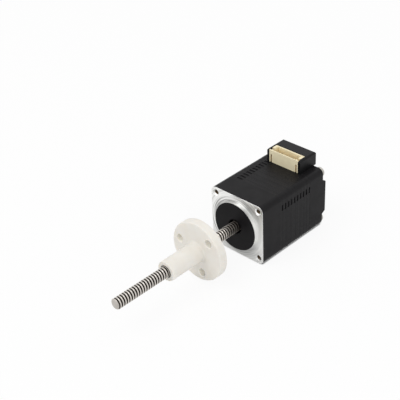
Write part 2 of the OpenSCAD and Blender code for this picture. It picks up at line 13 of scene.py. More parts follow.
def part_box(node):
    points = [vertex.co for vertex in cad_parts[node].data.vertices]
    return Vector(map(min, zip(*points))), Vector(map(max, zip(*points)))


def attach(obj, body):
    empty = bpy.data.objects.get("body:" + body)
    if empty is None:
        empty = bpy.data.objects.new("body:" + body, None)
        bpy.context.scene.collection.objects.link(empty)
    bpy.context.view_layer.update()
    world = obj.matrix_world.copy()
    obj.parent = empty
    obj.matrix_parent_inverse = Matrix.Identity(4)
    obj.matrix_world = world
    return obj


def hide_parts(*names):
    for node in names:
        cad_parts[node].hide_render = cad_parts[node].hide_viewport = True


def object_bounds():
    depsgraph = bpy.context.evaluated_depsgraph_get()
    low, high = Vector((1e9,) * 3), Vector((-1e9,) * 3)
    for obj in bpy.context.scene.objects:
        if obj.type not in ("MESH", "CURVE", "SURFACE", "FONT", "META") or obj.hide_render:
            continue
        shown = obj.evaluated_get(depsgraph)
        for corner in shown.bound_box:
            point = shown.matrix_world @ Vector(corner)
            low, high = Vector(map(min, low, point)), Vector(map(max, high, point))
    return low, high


bl_info = {
    "name": "Lead Screw Stepper Motor",
    "version": (1, 0, 0),
    "blender": (4, 5, 0),
    "location": "3D View > Sidebar > Lead Screw Motor",
    "description": "Finishes the pieces of a stepper motor with lead screw and sets its stage",
    "category": "Object",
}

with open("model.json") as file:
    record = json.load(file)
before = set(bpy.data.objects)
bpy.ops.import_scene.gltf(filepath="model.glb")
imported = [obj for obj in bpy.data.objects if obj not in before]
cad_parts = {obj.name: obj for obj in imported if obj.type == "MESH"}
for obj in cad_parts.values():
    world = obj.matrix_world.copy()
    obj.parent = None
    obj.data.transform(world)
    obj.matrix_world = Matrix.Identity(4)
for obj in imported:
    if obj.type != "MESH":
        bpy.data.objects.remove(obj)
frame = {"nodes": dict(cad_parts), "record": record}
CAD_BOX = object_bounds()
MM = 0.001
FULL_TURN = 2 * math.pi
QUARTER_TURN = math.pi / 2


# Sizes read from the frame

def node_points(node):
    """Corners of a solid's mesh, in metres."""
    return np.array([corner.co for corner in frame["nodes"][node].data.vertices])


def mount(name):
    """Entry of a mount in the part's record."""
    return next(entry for entry in frame["record"]["mounts"] if entry["name"] == name)


def mount_dims(name):
    """Sizes of a mount in metres, by their names without the unit."""
    return {
        key.removesuffix("_mm"): value * MM if key.endswith("_mm") else value
        for key, value in mount(name)["dims"].items()
    }


def coupling_ratio(joint):
    """How far a joint moves for one radian of the joint that it follows."""
    couplings = frame["record"]["behaviour"]["couplings"]
    return next(entry["ratio"] for entry in couplings if entry["joint"] == joint)


def reach_from_axis(node, low, high):
    """Largest distance from the screw's axis of a solid between two stations."""
    points = node_points(node)
    inside = points[(points[:, 1] >= low) & (points[:, 1] <= high)]
    return float(np.hypot(inside[:, 0], inside[:, 2]).max())


BELL_LOW, BELL_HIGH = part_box("front_end_bell")
STACK_LOW, STACK_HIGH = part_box("stator_stack")
SCREW_LOW, SCREW_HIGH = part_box("lead_screw")
NUT_LOW, NUT_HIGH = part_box("flange_nut")
PIN_LOW, PIN_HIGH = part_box("connector_pins")
TIE_LOW, TIE_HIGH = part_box("tie_screws")
RACE_LOW, RACE_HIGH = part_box("front_bearing_outer_race")
FRONT_FRAME_LOW, FRONT_FRAME_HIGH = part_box("front_winding_frame")
HEADER_LOW, HEADER_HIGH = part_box("connector_header")
ANCHOR_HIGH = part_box("connector_anchors")[1]
BOLTS = mount_dims("front_bolts")
NUT_BOLTS = mount_dims("nut_bolts")
PILOT_R = mount_dims("pilot_boss")["r"]
NUT_BARREL_R = mount_dims("nut_barrel")["r"]
NUT_FACE = mount("nut_bolts")["pos_m"][1]
LEAD = FULL_TURN * coupling_ratio("nut_travel")
THREAD_R = reach_from_axis("lead_screw", SCREW_LOW.y, 0)
TIE_HALF = BOLTS["spacing_x"] / 2

# Sizes that repeat those of the solids
ANCHOR_HALF_T = 0.15 * MM
ANCHOR_X = ANCHOR_HIGH.x - ANCHOR_HALF_T
HEADER_BACK_WALL = 0.8 * MM
HEADER_FLOOR = 1.2 * MM

# How far a cutting tool reaches past what it cuts
PAST = 1 * MM
# Two points of a mesh that are nearer than this are one
MERGE = 1e-6


def corner_axes():
    """Places of the four corner axes in the front view."""
    return [(x, z) for x in (-TIE_HALF, TIE_HALF) for z in (-TIE_HALF, TIE_HALF)]


def nut_hole_axes():
    """Places of the screw holes of the nut's flange in the front view."""
    first, reach, holes = math.radians(45), NUT_BOLTS["pcd"] / 2, NUT_BOLTS["count"]
    angles = [first + k * FULL_TURN / holes for k in range(holes)]
    return [(reach * math.cos(angle), reach * math.sin(angle)) for angle in angles]


def nearest(centre, axes):
    """Distance of a point from the nearest of some axes along Y."""
    return min(math.hypot(centre.x - x, centre.z - z) for x, z in axes)


# Settings

def length(name, description, default):
    """A length that the user can set, in metres."""
    return FloatProperty(
        name=name, description=description, default=default, unit="LENGTH", precision=5
    )


def number(name, description, default):
    """A plain number that the user can set."""
    return FloatProperty(name=name, description=description, default=default)


def count(name, description, default):
    """A whole number that the user can set."""
    return IntProperty(name=name, description=description, default=default)


def colour(name, description, default):
    """A colour that the user can set."""
    return FloatVectorProperty(
        name=name, description=description, default=default, subtype="COLOR", min=0, max=1
    )


class ThreadSizes(bpy.types.PropertyGroup):
    """Sizes of the screw's thread and of its nut."""

    lead: length("Lead", "Travel of the nut for one turn of the screw", LEAD)
    outer_r: length("Outer radius", "Radius over the thread's crests", THREAD_R)
    depth: length("Depth", "Depth of the thread's grooves", 0.56 * MM)
    clearance: length("Clearance", "Gap between the screw's thread and the nut's", 0.06 * MM)
    nut_mouth: length("Nut mouth", "Taper at the mouths of the nut's bore", 0.3 * MM)
    tip_chamfer: length("Tip chamfer", "Size of the taper at the screw's free end", 0.4 * MM)
    root_share: number("Root share", "Height where the flanks begin, as a share of the wave", 0.30)
    crest_share: number("Crest share", "Height where the crests begin, as a share of it", 0.60)
    turn_steps: count("Steps", "Steps round one turn of the thread", 40)
    turn_rows: count("Rows", "Rows of points across one turn of the thread", 12)


class CaseSizes(bpy.types.PropertyGroup):
    """Sizes of the motor's case, its sheets, its fasteners and its socket."""

    corner_r: length("Corner radius", "Radius of the frame's long corners", 2.5 * MM)
    edge: length("Edge", "Rounding of the casting's edges", 0.25 * MM)
    face_edge: length("Face edge", "Chamfer of the turned face and of the boss", 0.08 * MM)
    joint_edge: length("Joint edge", "Chamfer where the front casting meets the sheets", 0.03 * MM)
    painted_edge: length("Painted edge", "Reach of the boss's paint round its edge", 0.2 * MM)
    moulded_edge: length("Moulded edge", "Rounding of the cover's edges", 0.16 * MM)
    header_edge: length("Header edge", "Rounding of the header's edges", 0.07 * MM)
    front_wall: length("Front wall", "Thickness of the header's front wall", 0.5 * MM)
    end_wall: length("End wall", "Thickness of the header's ends", 1.4 * MM)
    end_notch: length("End notch", "Depth of the notches between front wall and ends", 0.8 * MM)
    anchor_slot: length("Anchor slot", "Width of the header's slots for its anchors", 0.66 * MM)
    cheek_run: length("Cheek run", "Length of the slope on the cover's cheeks", 1.4 * MM)
    cheek_drop: length("Cheek drop", "Height of the slope on the cover's cheeks", 0.8 * MM)
    countersink: length("Countersink", "Taper at the mouth of the mounting holes", 0.3 * MM)
    bolt_lead: length("Bolt lead", "Lead of the thread in the mounting holes", 0.45 * MM)
    bolt_depth: length("Bolt depth", "Depth of the mounting holes", 4.5 * MM)
    bolt_thread: length("Bolt thread", "Depth of the thread in the mounting holes", 0.2 * MM)
    sheet_gap: length("Sheet gap", "Gap that shows between two sheets", 0.03 * MM)
    sheet_shift: length("Sheet shift", "How far the edges of the sheets differ", 0.025 * MM)
    sheets: count("Sheets", "Sheets in the stack", 40)
    group: count("Group", "Sheets between two quarter turns of the stack", 2)
    head_h: length("Head height", "Height of the tie screw heads", 1.6 * MM)
    recess: length("Recess", "Reach of the cross recess in the tie screw heads", 1.2 * MM)
    contact_t: length("Contact", "Thickness of the square contacts", 0.5 * MM)
    contacts: count("Contacts", "Number of contacts in the socket", 6)


class Finishes(bpy.types.PropertyGroup):
    """Colours of the surfaces."""

    paint: colour("Paint", "Black paint of the castings", (0.0078, 0.0073, 0.0082))
    worn_paint: colour("Worn paint", "Paint rubbed along its edges", (0.035, 0.035, 0.038))
    sheet_paint: colour("Sheet paint", "Paint on the sheets' edges", (0.0074, 0.0069, 0.0078))
    bare_metal: colour("Bare metal", "Turned mounting face", (0.94, 0.94, 0.925))
    moulding: colour("Moulding", "Black moulded cover", (0.0065, 0.0065, 0.007))
    header: colour("Header", "Natural nylon of the socket", (0.94, 0.84, 0.58))
    # Painted shade for the nylon deep in the socket and in its anchor slots.
    header_shade: colour("Header shade", "Nylon deep in the socket", (0.72, 0.52, 0.24))
    acetal: colour("Acetal", "Ivory plastic of the nut", (0.83, 0.805, 0.755))
    acetal_shade: colour("Acetal shade", "Warmer patches in that plastic", (0.80, 0.765, 0.70))
    # Painted light: a lighter acetal for the walls of the flange's holes, standing in for light
    # that comes through the plastic.
    drilled: colour("Drilled acetal", "Walls of the holes in the flange", (0.95, 0.92, 0.84))
    crest: colour("Crest", "Bright crests of the screw's thread", (0.74, 0.70, 0.65))
    # Painted shade: the near black colour of the thread's grooves stands in for the shade in them.
    root: colour("Root", "Dark grooves of the screw's thread", (0.018, 0.012, 0.008))
    # Painted shade for the gap between the nut's bore and the screw.
    grease: colour("Grease", "Dark grease in the nut's bore", (0.03, 0.025, 0.018))
    # Painted shade: the dark colour inside the mounting holes stands in for the shade deep in them.
    tapped: colour("Tapped", "Oily threads inside the mounting holes", (0.11, 0.08, 0.05))
    plated: colour("Plated", "Plated steel of the tie screws", (0.52, 0.50, 0.46))
    tin: colour("Tin", "Tinned contacts and anchors of the socket", (0.78, 0.76, 0.72))
    # Raw brass at the cut edges of the anchors, darkened as painted shade for the slots they sit
    # in.
    brass: colour("Brass", "Raw brass at the cut edges of the anchors", (0.30, 0.17, 0.05))
    copper: colour("Copper", "Enamelled wire of the coils", (0.55, 0.24, 0.09))
    board: colour("Board", "Solder mask of the circuit board", (0.02, 0.10, 0.055))


class StageSettings(bpy.types.PropertyGroup):
    """Camera, floor and lamps. Pixels are those of the picture."""

    picture: count("Picture", "Width of the picture in pixels", 400)
    focal: number("Focal length", "Focal length in pixels", 969.6)
    azimuth: number("Azimuth", "Turn of the camera round the part in degrees", 45.56)
    elevation: number("Elevation", "Height of the camera in degrees", 33.13)
    roll: number("Roll", "Tilt of the picture in degrees", 3.10)
    origin_x: number("Origin across", "Pixel column of the part's origin", 237.18)
    origin_y: number("Origin down", "Pixel row of the part's origin", 225.14)
    distance: length("Distance", "Distance of the part's origin along the view", 403.75 * MM)
    fill: number("Fill", "Strength of the light from all round", 0.7)
    shadow: number("Shadow", "Share of the floor that takes the shadow", 0.1)
    shine: number("Shine", "Share of the floor that is white in reflections", 0.5)
    contact: length("Contact", "Height below which the floor is dark under the part", 1.0 * MM)
    floor: colour("Floor", "Pale floor", (0.9, 0.9, 0.9))


# Node trees

FLOAT, INT, OBJECT, MATERIAL, GEOMETRY = (
    f"NodeSocket{kind}" for kind in ("Float", "Int", "Object", "Material", "Geometry")
)


class Value:
    """Output of a node, which can be reckoned with."""

    def __init__(self, socket):
        self.socket = socket
        self.tree = socket.id_data

    def __add__(self, other):
        return maths("ADD", self, other)

    def __sub__(self, other):
        return maths("SUBTRACT", self, other)

    def __mul__(self, other):
        return maths("MULTIPLY", self, other)

    def __truediv__(self, other):
        return maths("DIVIDE", self, other)

    def __abs__(self):
        return maths("ABSOLUTE", self)


def connect(node, sockets):
    """Joins values to a node's inputs, and sets the inputs that are constants."""
    for socket, value in sockets.items():
        if isinstance(value, Value):
            value.tree.links.new(value.socket, node.inputs[socket])
        else:
            node.inputs[socket].default_value = value


def make(tree, kind, sockets=None, output=0, **settings):
    """One output of a new node, with its settings and inputs."""
    node = tree.nodes.new(kind)
    for key, value in settings.items():
        setattr(node, key, value)
    connect(node, sockets or {})
    return Value(node.outputs[output])


def outputs(node):
    """All outputs of a node, by name."""
    return {socket.name: Value(socket) for socket in node.outputs}


def maths(operation, *values):
    """Result of a math node on these values, of which the first is an output."""
    numbers = dict(enumerate(values))
    return make(values[0].tree, "ShaderNodeMath", numbers, operation=operation)


def vector_maths(operation, vector, output):
    """Result of a math node on a vector."""
    return make(vector.tree, "ShaderNodeVectorMath", {0: vector}, output, operation=operation)


def ramp(value, low, high, to_low=0.0, to_high=1.0, smooth=False):
    """Value that goes from one range to another."""
    ends = {"From Min": low, "From Max": high, "To Min": to_low, "To Max": to_high}
    kind = "SMOOTHSTEP" if smooth else "LINEAR"
    sockets = {"Value": value, **ends}
    return make(value.tree, "ShaderNodeMapRange", sockets, "Result", interpolation_type=kind)


def joined(tree, x=0.0, y=0.0, z=0.0):
    """Three numbers as a vector."""
    return make(tree, "ShaderNodeCombineXYZ", {0: x, 1: y, 2: z})


def parted(vector):
    """The three numbers of a vector."""
    first = make(vector.tree, "ShaderNodeSeparateXYZ", {0: vector})
    return [Value(socket) for socket in first.socket.node.outputs]


def noise(tree, dimensions="3D", **sockets):
    """Value of a noise texture."""
    return make(tree, "ShaderNodeTexNoise", sockets, noise_dimensions=dimensions)


def position(tree):
    """Place of a point in the part's own frame."""
    return make(tree, "ShaderNodeTexCoord", output="Object")


def front_view(tree):
    """Place of a point in the front view, with the screw's axis in the middle."""
    across, _, up = parted(position(tree))
    return joined(tree, across, up)


def axis_distance(tree):
    """Distance of a point from the screw's axis."""
    return vector_maths("LENGTH", front_view(tree), "Value")


def named_group(name, kind, inputs, results):
    """Empty node group, its inputs by name, and the node that takes its results."""
    tree = bpy.data.node_groups.new(name, kind)
    for label, socket_kind, default in inputs:
        socket = tree.interface.new_socket(label, in_out="INPUT", socket_type=socket_kind)
        if default is not None:
            socket.default_value = default
    for label, socket_kind in results:
        tree.interface.new_socket(label, in_out="OUTPUT", socket_type=socket_kind)
    given = outputs(tree.nodes.new("NodeGroupInput"))
    return tree, given, tree.nodes.new("NodeGroupOutput")


# Effects that several finishes share

def shader_group(name, inputs, results):
    """Empty group of shader nodes whose inputs and results are plain values."""
    given = [(label, FLOAT, default) for label, default in inputs.items()]
    return named_group(name, "ShaderNodeTree", given, [(label, FLOAT) for label in results])


def fine_grain(name):
    """Small bumps of paint or moulded plastic, and slow patches over the surface."""
    patch_share = 0.04
    tree, given, result = shader_group(name, {"Scale": 9000.0}, ("Height", "Patches"))
    spot, scale = position(tree), given["Scale"]
    connect(result, {
        "Height": noise(tree, Vector=spot, Scale=scale, Detail=4.0, Roughness=0.6),
        "Patches": noise(tree, Vector=spot, Scale=scale * patch_share, Detail=3.0),
    })
    return tree


def turned_rings(name):
    """Rings left by turning about the screw's axis, with streaks that come and go round it."""
    streak_share, streak_start = 0.35, 17.1
    tree, given, result = shader_group(name, {"Scale": 6000.0}, ("Height", "Streaks"))
    turns = axis_distance(tree) * given["Scale"]
    around = vector_maths("NORMALIZE", front_view(tree), "Vector")
    slow = turns * streak_share + streak_start
    connect(result, {
        "Height": noise(tree, "1D", W=turns, Scale=1.0, Detail=3.0),
        "Streaks": noise(tree, "4D", Vector=around, W=slow, Scale=1.0, Detail=2.0),
    })
    return tree


def edge_wear(name):
    """Rubbed patches along the rounded edges that a piece's mesh marks."""
    tree, given, result = shader_group(name, {"Breakup": 900.0, "Amount": 0.5}, ["Mask"])
    marked = make(tree, "ShaderNodeAttribute", output="Fac", attribute_name="edge")
    broken = noise(tree, Vector=position(tree), Scale=given["Breakup"], Detail=5.0)
    worn = ramp(broken, 0.42, 0.62, smooth=True) * given["Amount"]
    connect(result, {"Mask": marked * worn})
    return tree


def effect(tree, build, **values):
    """Outputs of a shared effect, placed in a material with its own values."""
    name = build.__name__.replace("_", " ").capitalize()
    group = bpy.data.node_groups.get(name) or build(name)
    settings = {label.capitalize(): value for label, value in values.items()}
    first = make(tree, "ShaderNodeGroup", settings, node_tree=group)
    return outputs(first.socket.node)


# Finishes

# Range over which patches and streaks take effect
PATCH_RANGE = (0.3, 0.7)
# Sockets of a Mix node for its two colours and for its result
MIX_LOW, MIX_HIGH, MIX_RESULT = 6, 7, 2


def blank(name):
    """New material, its tree and its surface shader."""
    material = bpy.data.materials.new(name)
    material.use_nodes = True
    return material, material.node_tree, material.node_tree.nodes["Principled BSDF"]


def opaque(rgb):
    """Colour with full alpha."""
    return (*rgb, 1.0)


def shaded(rgb, share):
    """Colour at a share of its brightness."""
    return [share * channel for channel in rgb]


def tint(factor, low, high):
    """Colour that goes from one to another by a factor."""
    sockets = {"Factor": factor}
    for socket, value in ((MIX_LOW, low), (MIX_HIGH, high)):
        sockets[socket] = value if isinstance(value, Value) else opaque(value)
    return make(factor.tree, "ShaderNodeMix", sockets, MIX_RESULT, data_type="RGBA")


def patchy(value, low=0.0, high=1.0):
    """Value that follows the patches or streaks of a surface."""
    return ramp(value, *PATCH_RANGE, low, high)


def bump(height, strength, depth):
    """Normal of a surface with small relief."""
    relief = {"Height": height, "Strength": strength, "Distance": depth}
    return make(height.tree, "ShaderNodeBump", relief)


def dress(shader, base, rough, normal, **constants):
    """Joins colour, roughness and relief to the surface shader, and sets its constants."""
    connect(shader, {"Base Color": base, "Roughness": rough, "Normal": normal})
    connect(shader, {socket.replace("_", " "): value for socket, value in constants.items()})


def painted_casting(finish, name="painted_casting", gloss=0.125):
    """Satin black paint with a slight orange peel, rubbed along its edges."""
    rubbed_smooth = 0.12
    material, tree, shader = blank(name)
    grain = effect(tree, fine_grain, scale=5200.0)
    worn = effect(tree, edge_wear, breakup=700.0, amount=0.75)["Mask"]
    base = tint(worn, finish.paint, finish.worn_paint)
    rough = patchy(grain["Patches"], 0.40, 0.52) - worn * rubbed_smooth
    normal = bump(grain["Height"], 0.22, 0.03 * MM)
    dress(shader, base, rough, normal, Specular_IOR_Level=gloss)
    return material


def sheet_edges(finish):
    """Black paint over the edges of the sheets, a little different on each sheet."""
    pitch = (STACK_HIGH.y - STACK_LOW.y) / bpy.context.scene.motor_case.sheets
    material, tree, shader = blank("sheet_edges")
    grain = effect(tree, fine_grain, scale=7000.0)
    _, along, _ = parted(position(tree))
    which = {"W": maths("FLOOR", along / pitch)}
    own = make(tree, "ShaderNodeTexWhiteNoise", which, "Value", noise_dimensions="1D")
    base = tint(own, finish.sheet_paint, finish.paint)
    rough = ramp(own, 0, 1, 0.40, 0.52) + patchy(grain["Patches"], -0.03, 0.03)
    normal = bump(grain["Height"], 0.2, 0.02 * MM)
    dress(shader, base, rough, normal, Specular_IOR_Level=0.15)
    return material


def bare_face(finish):
    """Turned aluminium of the mounting face with streaks round the boss, a painted highlight
    towards its right, painted shade towards its bottom, and darker near the boss.
    """
    near_boss, off_boss = 13.0 * MM, 15.0 * MM
    material, tree, shader = blank("bare_face")
    rings = effect(tree, turned_rings, scale=5200.0)
    radius = axis_distance(tree)
    across, _, up = parted(position(tree))
    # Painted highlight and painted shade: the face is brighter towards its right and darker towards
    # its bottom.
    painted_highlight_fan = ramp(across / radius, 0.55, 0.95, 0.0, 0.9, smooth=True)
    painted_shade_fan = ramp(up / radius, -0.95, -0.3, 0.25, 1.0, smooth=True)
    streaks = ramp(rings["Streaks"], 0.37, 0.58)
    shade = maths("MAXIMUM", streaks, painted_highlight_fan) * painted_shade_fan
    by_boss = ramp(radius, near_boss, off_boss, 0.40, 0.68)
    dull = tint(by_boss, (0, 0, 0), finish.bare_metal)
    base = tint(shade, dull, finish.bare_metal)
    rough = patchy(rings["Streaks"], 0.44, 0.3)
    normal = bump(rings["Height"], 0.6, 0.05 * MM)
    dress(shader, base, rough, normal, Metallic=1.0)
    return material


def black_moulding(finish):
    """Moulded black plastic with a fine spark eroded texture."""
    material, tree, shader = blank("black_moulding")
    grain = effect(tree, fine_grain, scale=11000.0)
    worn = effect(tree, edge_wear, breakup=1200.0, amount=0.4)["Mask"]
    base = tint(worn, finish.moulding, finish.worn_paint)
    rough = patchy(grain["Patches"], 0.30, 0.40)
    normal = bump(grain["Height"], 0.2, 0.02 * MM)
    dress(shader, base, rough, normal, Specular_IOR_Level=0.15)
    return material


def header_nylon(finish):
    """Natural nylon with painted shade, darker and warmer, deep in the socket and in the anchor
    slots.
    """
    front_wall, back_wall = bpy.context.scene.motor_case.front_wall, HEADER_BACK_WALL
    front, back, top = HEADER_LOW.y, HEADER_HIGH.y, HEADER_HIGH.z
    shallow, deep, deep_share = 0.1 * MM, 2.4 * MM, 0.35
    slot_half, slot_start, slot_full = 0.36 * MM, 0.04 * MM, 0.2 * MM
    material, tree, shader = blank("header_nylon")
    grain = effect(tree, fine_grain, scale=9000.0)
    across, along, up = parted(position(tree))
    behind = ramp(along, front + front_wall / 2, front + front_wall, smooth=True)
    before = ramp(along, back - back_wall / 2, back - back_wall, smooth=True)
    below = ramp(up, top - shallow, top - deep, smooth=True)
    # Painted shade: deeper in the pocket and down the anchor slots the nylon takes a darker, warmer
    # colour.
    in_pocket = behind * before * (below * deep_share)
    at_slot = maths("LESS_THAN", abs(abs(across) - ANCHOR_X), slot_half)
    recessed = ramp(along, front + slot_start, front + slot_full)
    painted_shade_mask = maths("MAXIMUM", in_pocket, at_slot * (recessed * below))
    mottled = tint(patchy(grain["Patches"]), finish.header, shaded(finish.header, 0.94))
    base = tint(painted_shade_mask, mottled, finish.header_shade)
    rough = patchy(grain["Patches"], 0.38, 0.5)
    dress(shader, base, rough, bump(grain["Height"], 0.15, 0.015 * MM))
    return material


def ivory_acetal(name, finish, light, shade):
    """Slightly translucent ivory plastic with fine turning rings, and painted shade darkening it
    near its bore.
    """
    bore_r, bore_shade_reach, grain_share = THREAD_R + 0.2 * MM, 0.3 * MM, 0.5
    material, tree, shader = blank(name)
    rings = effect(tree, turned_rings, scale=4200.0)
    grain = effect(tree, fine_grain, scale=4000.0)
    mottled = tint(ramp(grain["Patches"], 0.35, 0.7), light, shade)
    # Painted shade: near the bore the acetal turns dark, for the shade in the gap round the screw.
    bore_shaded = ramp(axis_distance(tree), bore_r + bore_shade_reach, bore_r, 0.0, 0.9, smooth=True)
    base = tint(bore_shaded, mottled, finish.grease)
    rough = patchy(rings["Streaks"], 0.36, 0.5)
    normal = bump(rings["Height"] + grain["Height"] * grain_share, 0.16, 0.015 * MM)
    dress(
        shader, base, rough, normal, Subsurface_Weight=0.4, Subsurface_Scale=2.0 * MM,
        Subsurface_Radius=(1.0, 0.92, 0.8),
    )
    return material


def rolled_steel(finish):
    """Steel of the screw: bright rubbed crests over grooves in painted shade, with painted shade
    over the crests near the motor.
    """
    sizes = bpy.context.scene.motor_thread
    rubbed_from, rubbed_to = (sizes.outer_r - share * sizes.depth for share in (0.45, 0.04))
    tip_from, tip_to = (SCREW_LOW.y + share * sizes.tip_chamfer for share in (1.8, 1.4))
    shade_from, shade_to = (BELL_LOW.y - turns * sizes.lead for turns in (5, 0.3))
    material, tree, shader = blank("rolled_steel")
    grain = effect(tree, fine_grain, scale=6000.0)
    _, along, _ = parted(position(tree))
    # The grooves take the painted shade colour; the crests and the tip keep the steel's colour.
    rubbed = ramp(axis_distance(tree), rubbed_from, rubbed_to, smooth=True)
    tip = ramp(along, tip_from, tip_to, 0, 0.8)
    # Painted shade: the crests darken towards the motor.
    painted_shade_by_motor = ramp(along, shade_from, shade_to, 1.0, 0.15)
    crest = maths("MAXIMUM", rubbed, tip) * painted_shade_by_motor
    streaked = tint(patchy(grain["Patches"]), shaded(finish.crest, 0.8), finish.crest)
    base = tint(crest, finish.root, streaked)
    rough = ramp(crest, 0, 1, 0.55, 0.2)
    dress(shader, base, rough, bump(grain["Height"], 0.18, 0.012 * MM), Metallic=1.0)
    return material


def grained(name, rgb, rough, scale, dark_share, relief, metallic):
    """Surface with a faint grain, darker and smoother in patches."""
    material, tree, shader = blank(name)
    grain = effect(tree, fine_grain, scale=scale)
    base = tint(patchy(grain["Patches"]), shaded(rgb, dark_share), rgb)
    normal = bump(grain["Height"], *relief)
    dress(shader, base, patchy(grain["Patches"], *rough), normal, Metallic=metallic)
    return material


def brushed_metal(name, rgb, rough, scale):
    """Metal for fasteners and for the pieces inside."""
    return grained(name, rgb, (rough, rough + 0.12), scale, 0.82, (0.15, 0.012 * MM), 1.0)


def moulded_plastic(name, rgb, rough):
    """Plain moulded plastic."""
    return grained(name, rgb, (rough, rough + 0.1), 9000.0, 0.85, (0.2, 0.015 * MM), 0.0)


def banded(name, rgb, dark, spacing, metallic):
    """Fine parallel bands across the motor's axis, as of wire turns or of sheets."""
    material, tree, shader = blank(name)
    _, along, _ = parted(position(tree))
    crest = ramp(maths("SINE", along * (FULL_TURN / spacing)), -0.9, 0.3, smooth=True)
    rough = ramp(crest, 0, 1, 0.55, 0.32)
    dress(shader, tint(crest, dark, rgb), rough, bump(crest, 0.4, 0.03 * MM), Metallic=metallic)
    return material


# Meshes

@contextmanager
def edited(mesh, source=None):
    """Shape of a mesh, or of its source, that is written to the mesh at the end."""
    shape = bmesh.new()
    shape.from_mesh(source or mesh)
    yield shape
    shape.to_mesh(mesh)
    shape.free()


def arc_corner(before, corner, after, radius, steps):
    """Points of a rounded corner of an outline."""
    corner = Vector(corner)
    one = (Vector(before) - corner).normalized()
    two = (Vector(after) - corner).normalized()
    half = one.angle(two) / 2
    centre = corner + (one + two).normalized() * radius / math.sin(half)
    start = corner + one * radius / math.tan(half) - centre
    end = corner + two * radius / math.tan(half) - centre
    first = math.atan2(start.y, start.x)
    swept = math.remainder(math.atan2(end.y, end.x) - first, FULL_TURN)
    angles = [first + swept * k / steps for k in range(steps + 1)]
    return [centre + radius * Vector((math.cos(angle), math.sin(angle))) for angle in angles]


def rounded(corners, steps=5):
    """Closed outline from corners given as across, along and radius."""
    outline = []
    for k, (across, along, radius) in enumerate(corners):
        before = corners[k - 1][:2]
        after = corners[(k + 1) % len(corners)][:2]
        if radius:
            outline += arc_corner(before, (across, along), after, radius, steps)
        else:
            outline.append(Vector((across, along)))
    return outline


def solid(name, points, faces):
    """Mesh of a closed shell, with its faces turned outwards."""
    mesh = bpy.data.meshes.new(name)
    mesh.from_pydata(points, [], faces)
    with edited(mesh) as shape:
        bmesh.ops.recalc_face_normals(shape, faces=shape.faces)
    return mesh


def turn(name, outline, steps=72, axis=(0, 0), loop=False):
    """Shell of an outline of radius and station, turned about an axis along Y."""
    on_axis = 1e-9
    points, faces, rings = [], [], []
    for radius, station in outline:
        if radius < on_axis:
            rings.append([len(points)] * steps)
            points.append((axis[0], station, axis[1]))
            continue
        rings.append(range(len(points), len(points) + steps))
        for k in range(steps):
            angle = FULL_TURN * k / steps
            across, up = radius * math.cos(angle), radius * math.sin(angle)
            points.append((axis[0] + across, station, axis[1] + up))
    for one, two in zip(rings, rings[1:] + (rings[:1] if loop else [])):
        for k in range(steps):
            after = (k + 1) % steps
            face = list(dict.fromkeys((one[k], one[after], two[after], two[k])))
            if len(face) > 2:
                faces.append(face)
    return solid(name, points, faces)


def loft(name, rings):
    """Shell through rings of points, with flat ends."""
    size = len(rings[0])
    points = [point for ring in rings for point in ring]
    faces = [list(range(size)), list(range(len(points) - size, len(points)))]
    for start in range(0, len(points) - size, size):
        for k in range(size):
            after = (k + 1) % size
            faces.append((start + k, start + after, start + size + after, start + size + k))
    return solid(name, points, faces)


def block(name, low, high):
    """Plain box between two corners, for use as a tool."""
    order = ((0, 0), (1, 0), (1, 1), (0, 1))
    x, y, z = zip(low, high)
    return loft(name, [[(end, y[k], z[m]) for k, m in order] for end in x])


def rounded_block(name, half, corner_r, front, back, edges):
    """Square block along Y with round long corners and a chamfer at each end."""
    first, last = edges
    rings = []
    for station, inset in ((front, first), (front + first, 0), (back - last, 0), (back, last)):
        side, corner = half - inset, corner_r - inset
        ways = ((1, 1), (-1, 1), (-1, -1), (1, -1))
        outline = rounded([(x * side, z * side, corner) for x, z in ways], steps=10)
        rings.append([(x, station, z) for x, z in outline])
    return loft(name, rings)


def evaluated(piece):
    """Mesh of an object with its modifiers applied."""
    bpy.context.view_layer.update()
    graph = bpy.context.evaluated_depsgraph_get()
    return bpy.data.meshes.new_from_object(
        piece.evaluated_get(graph), preserve_all_data_layers=True, depsgraph=graph
    )


def placed(name, mesh):
    """Object of a mesh, at the origin."""
    piece = bpy.data.objects.new(name, mesh)
    bpy.context.scene.collection.objects.link(piece)
    return piece


def combine(mesh, tool, operation):
    """Mesh cut by, joined with or limited to a closed tool."""
    piece, other = placed("worked", mesh), placed("tool", tool)
    modifier = piece.modifiers.new("Combine", "BOOLEAN")
    modifier.operation = operation
    modifier.object = other
    modifier.solver = "EXACT"
    result = evaluated(piece)
    for done in (piece, other):
        bpy.data.objects.remove(done)
    return result


def cut(mesh, tools):
    """Mesh without what some closed tools take out of it."""
    for tool in tools:
        mesh = combine(mesh, tool, "DIFFERENCE")
    return mesh


def mark_edges(mesh, values):
    """Writes which faces are edges, for the finish to wear."""
    mesh.attributes.new("edge", "FLOAT", "FACE").data.foreach_set("value", values)


def softened(mesh, width):
    """Mesh with its sharp edges rounded, and the rounded faces marked as edges."""
    piece = placed("softened", mesh)
    for _ in ("body", "edges"):
        mesh.materials.append(None)
    modifier = piece.modifiers.new("Round", "BEVEL")
    modifier.limit_method = "ANGLE"
    modifier.angle_limit = math.radians(32)
    modifier.width = width
    modifier.segments = 2
    modifier.material = 1
    modifier.use_clamp_overlap = True
    result = evaluated(piece)
    bpy.data.objects.remove(piece)
    mark_edges(result, [float(face.material_index == 1) for face in result.polygons])
    result.polygons.foreach_set("material_index", [0] * len(result.polygons))
    result.materials.clear()
    return result


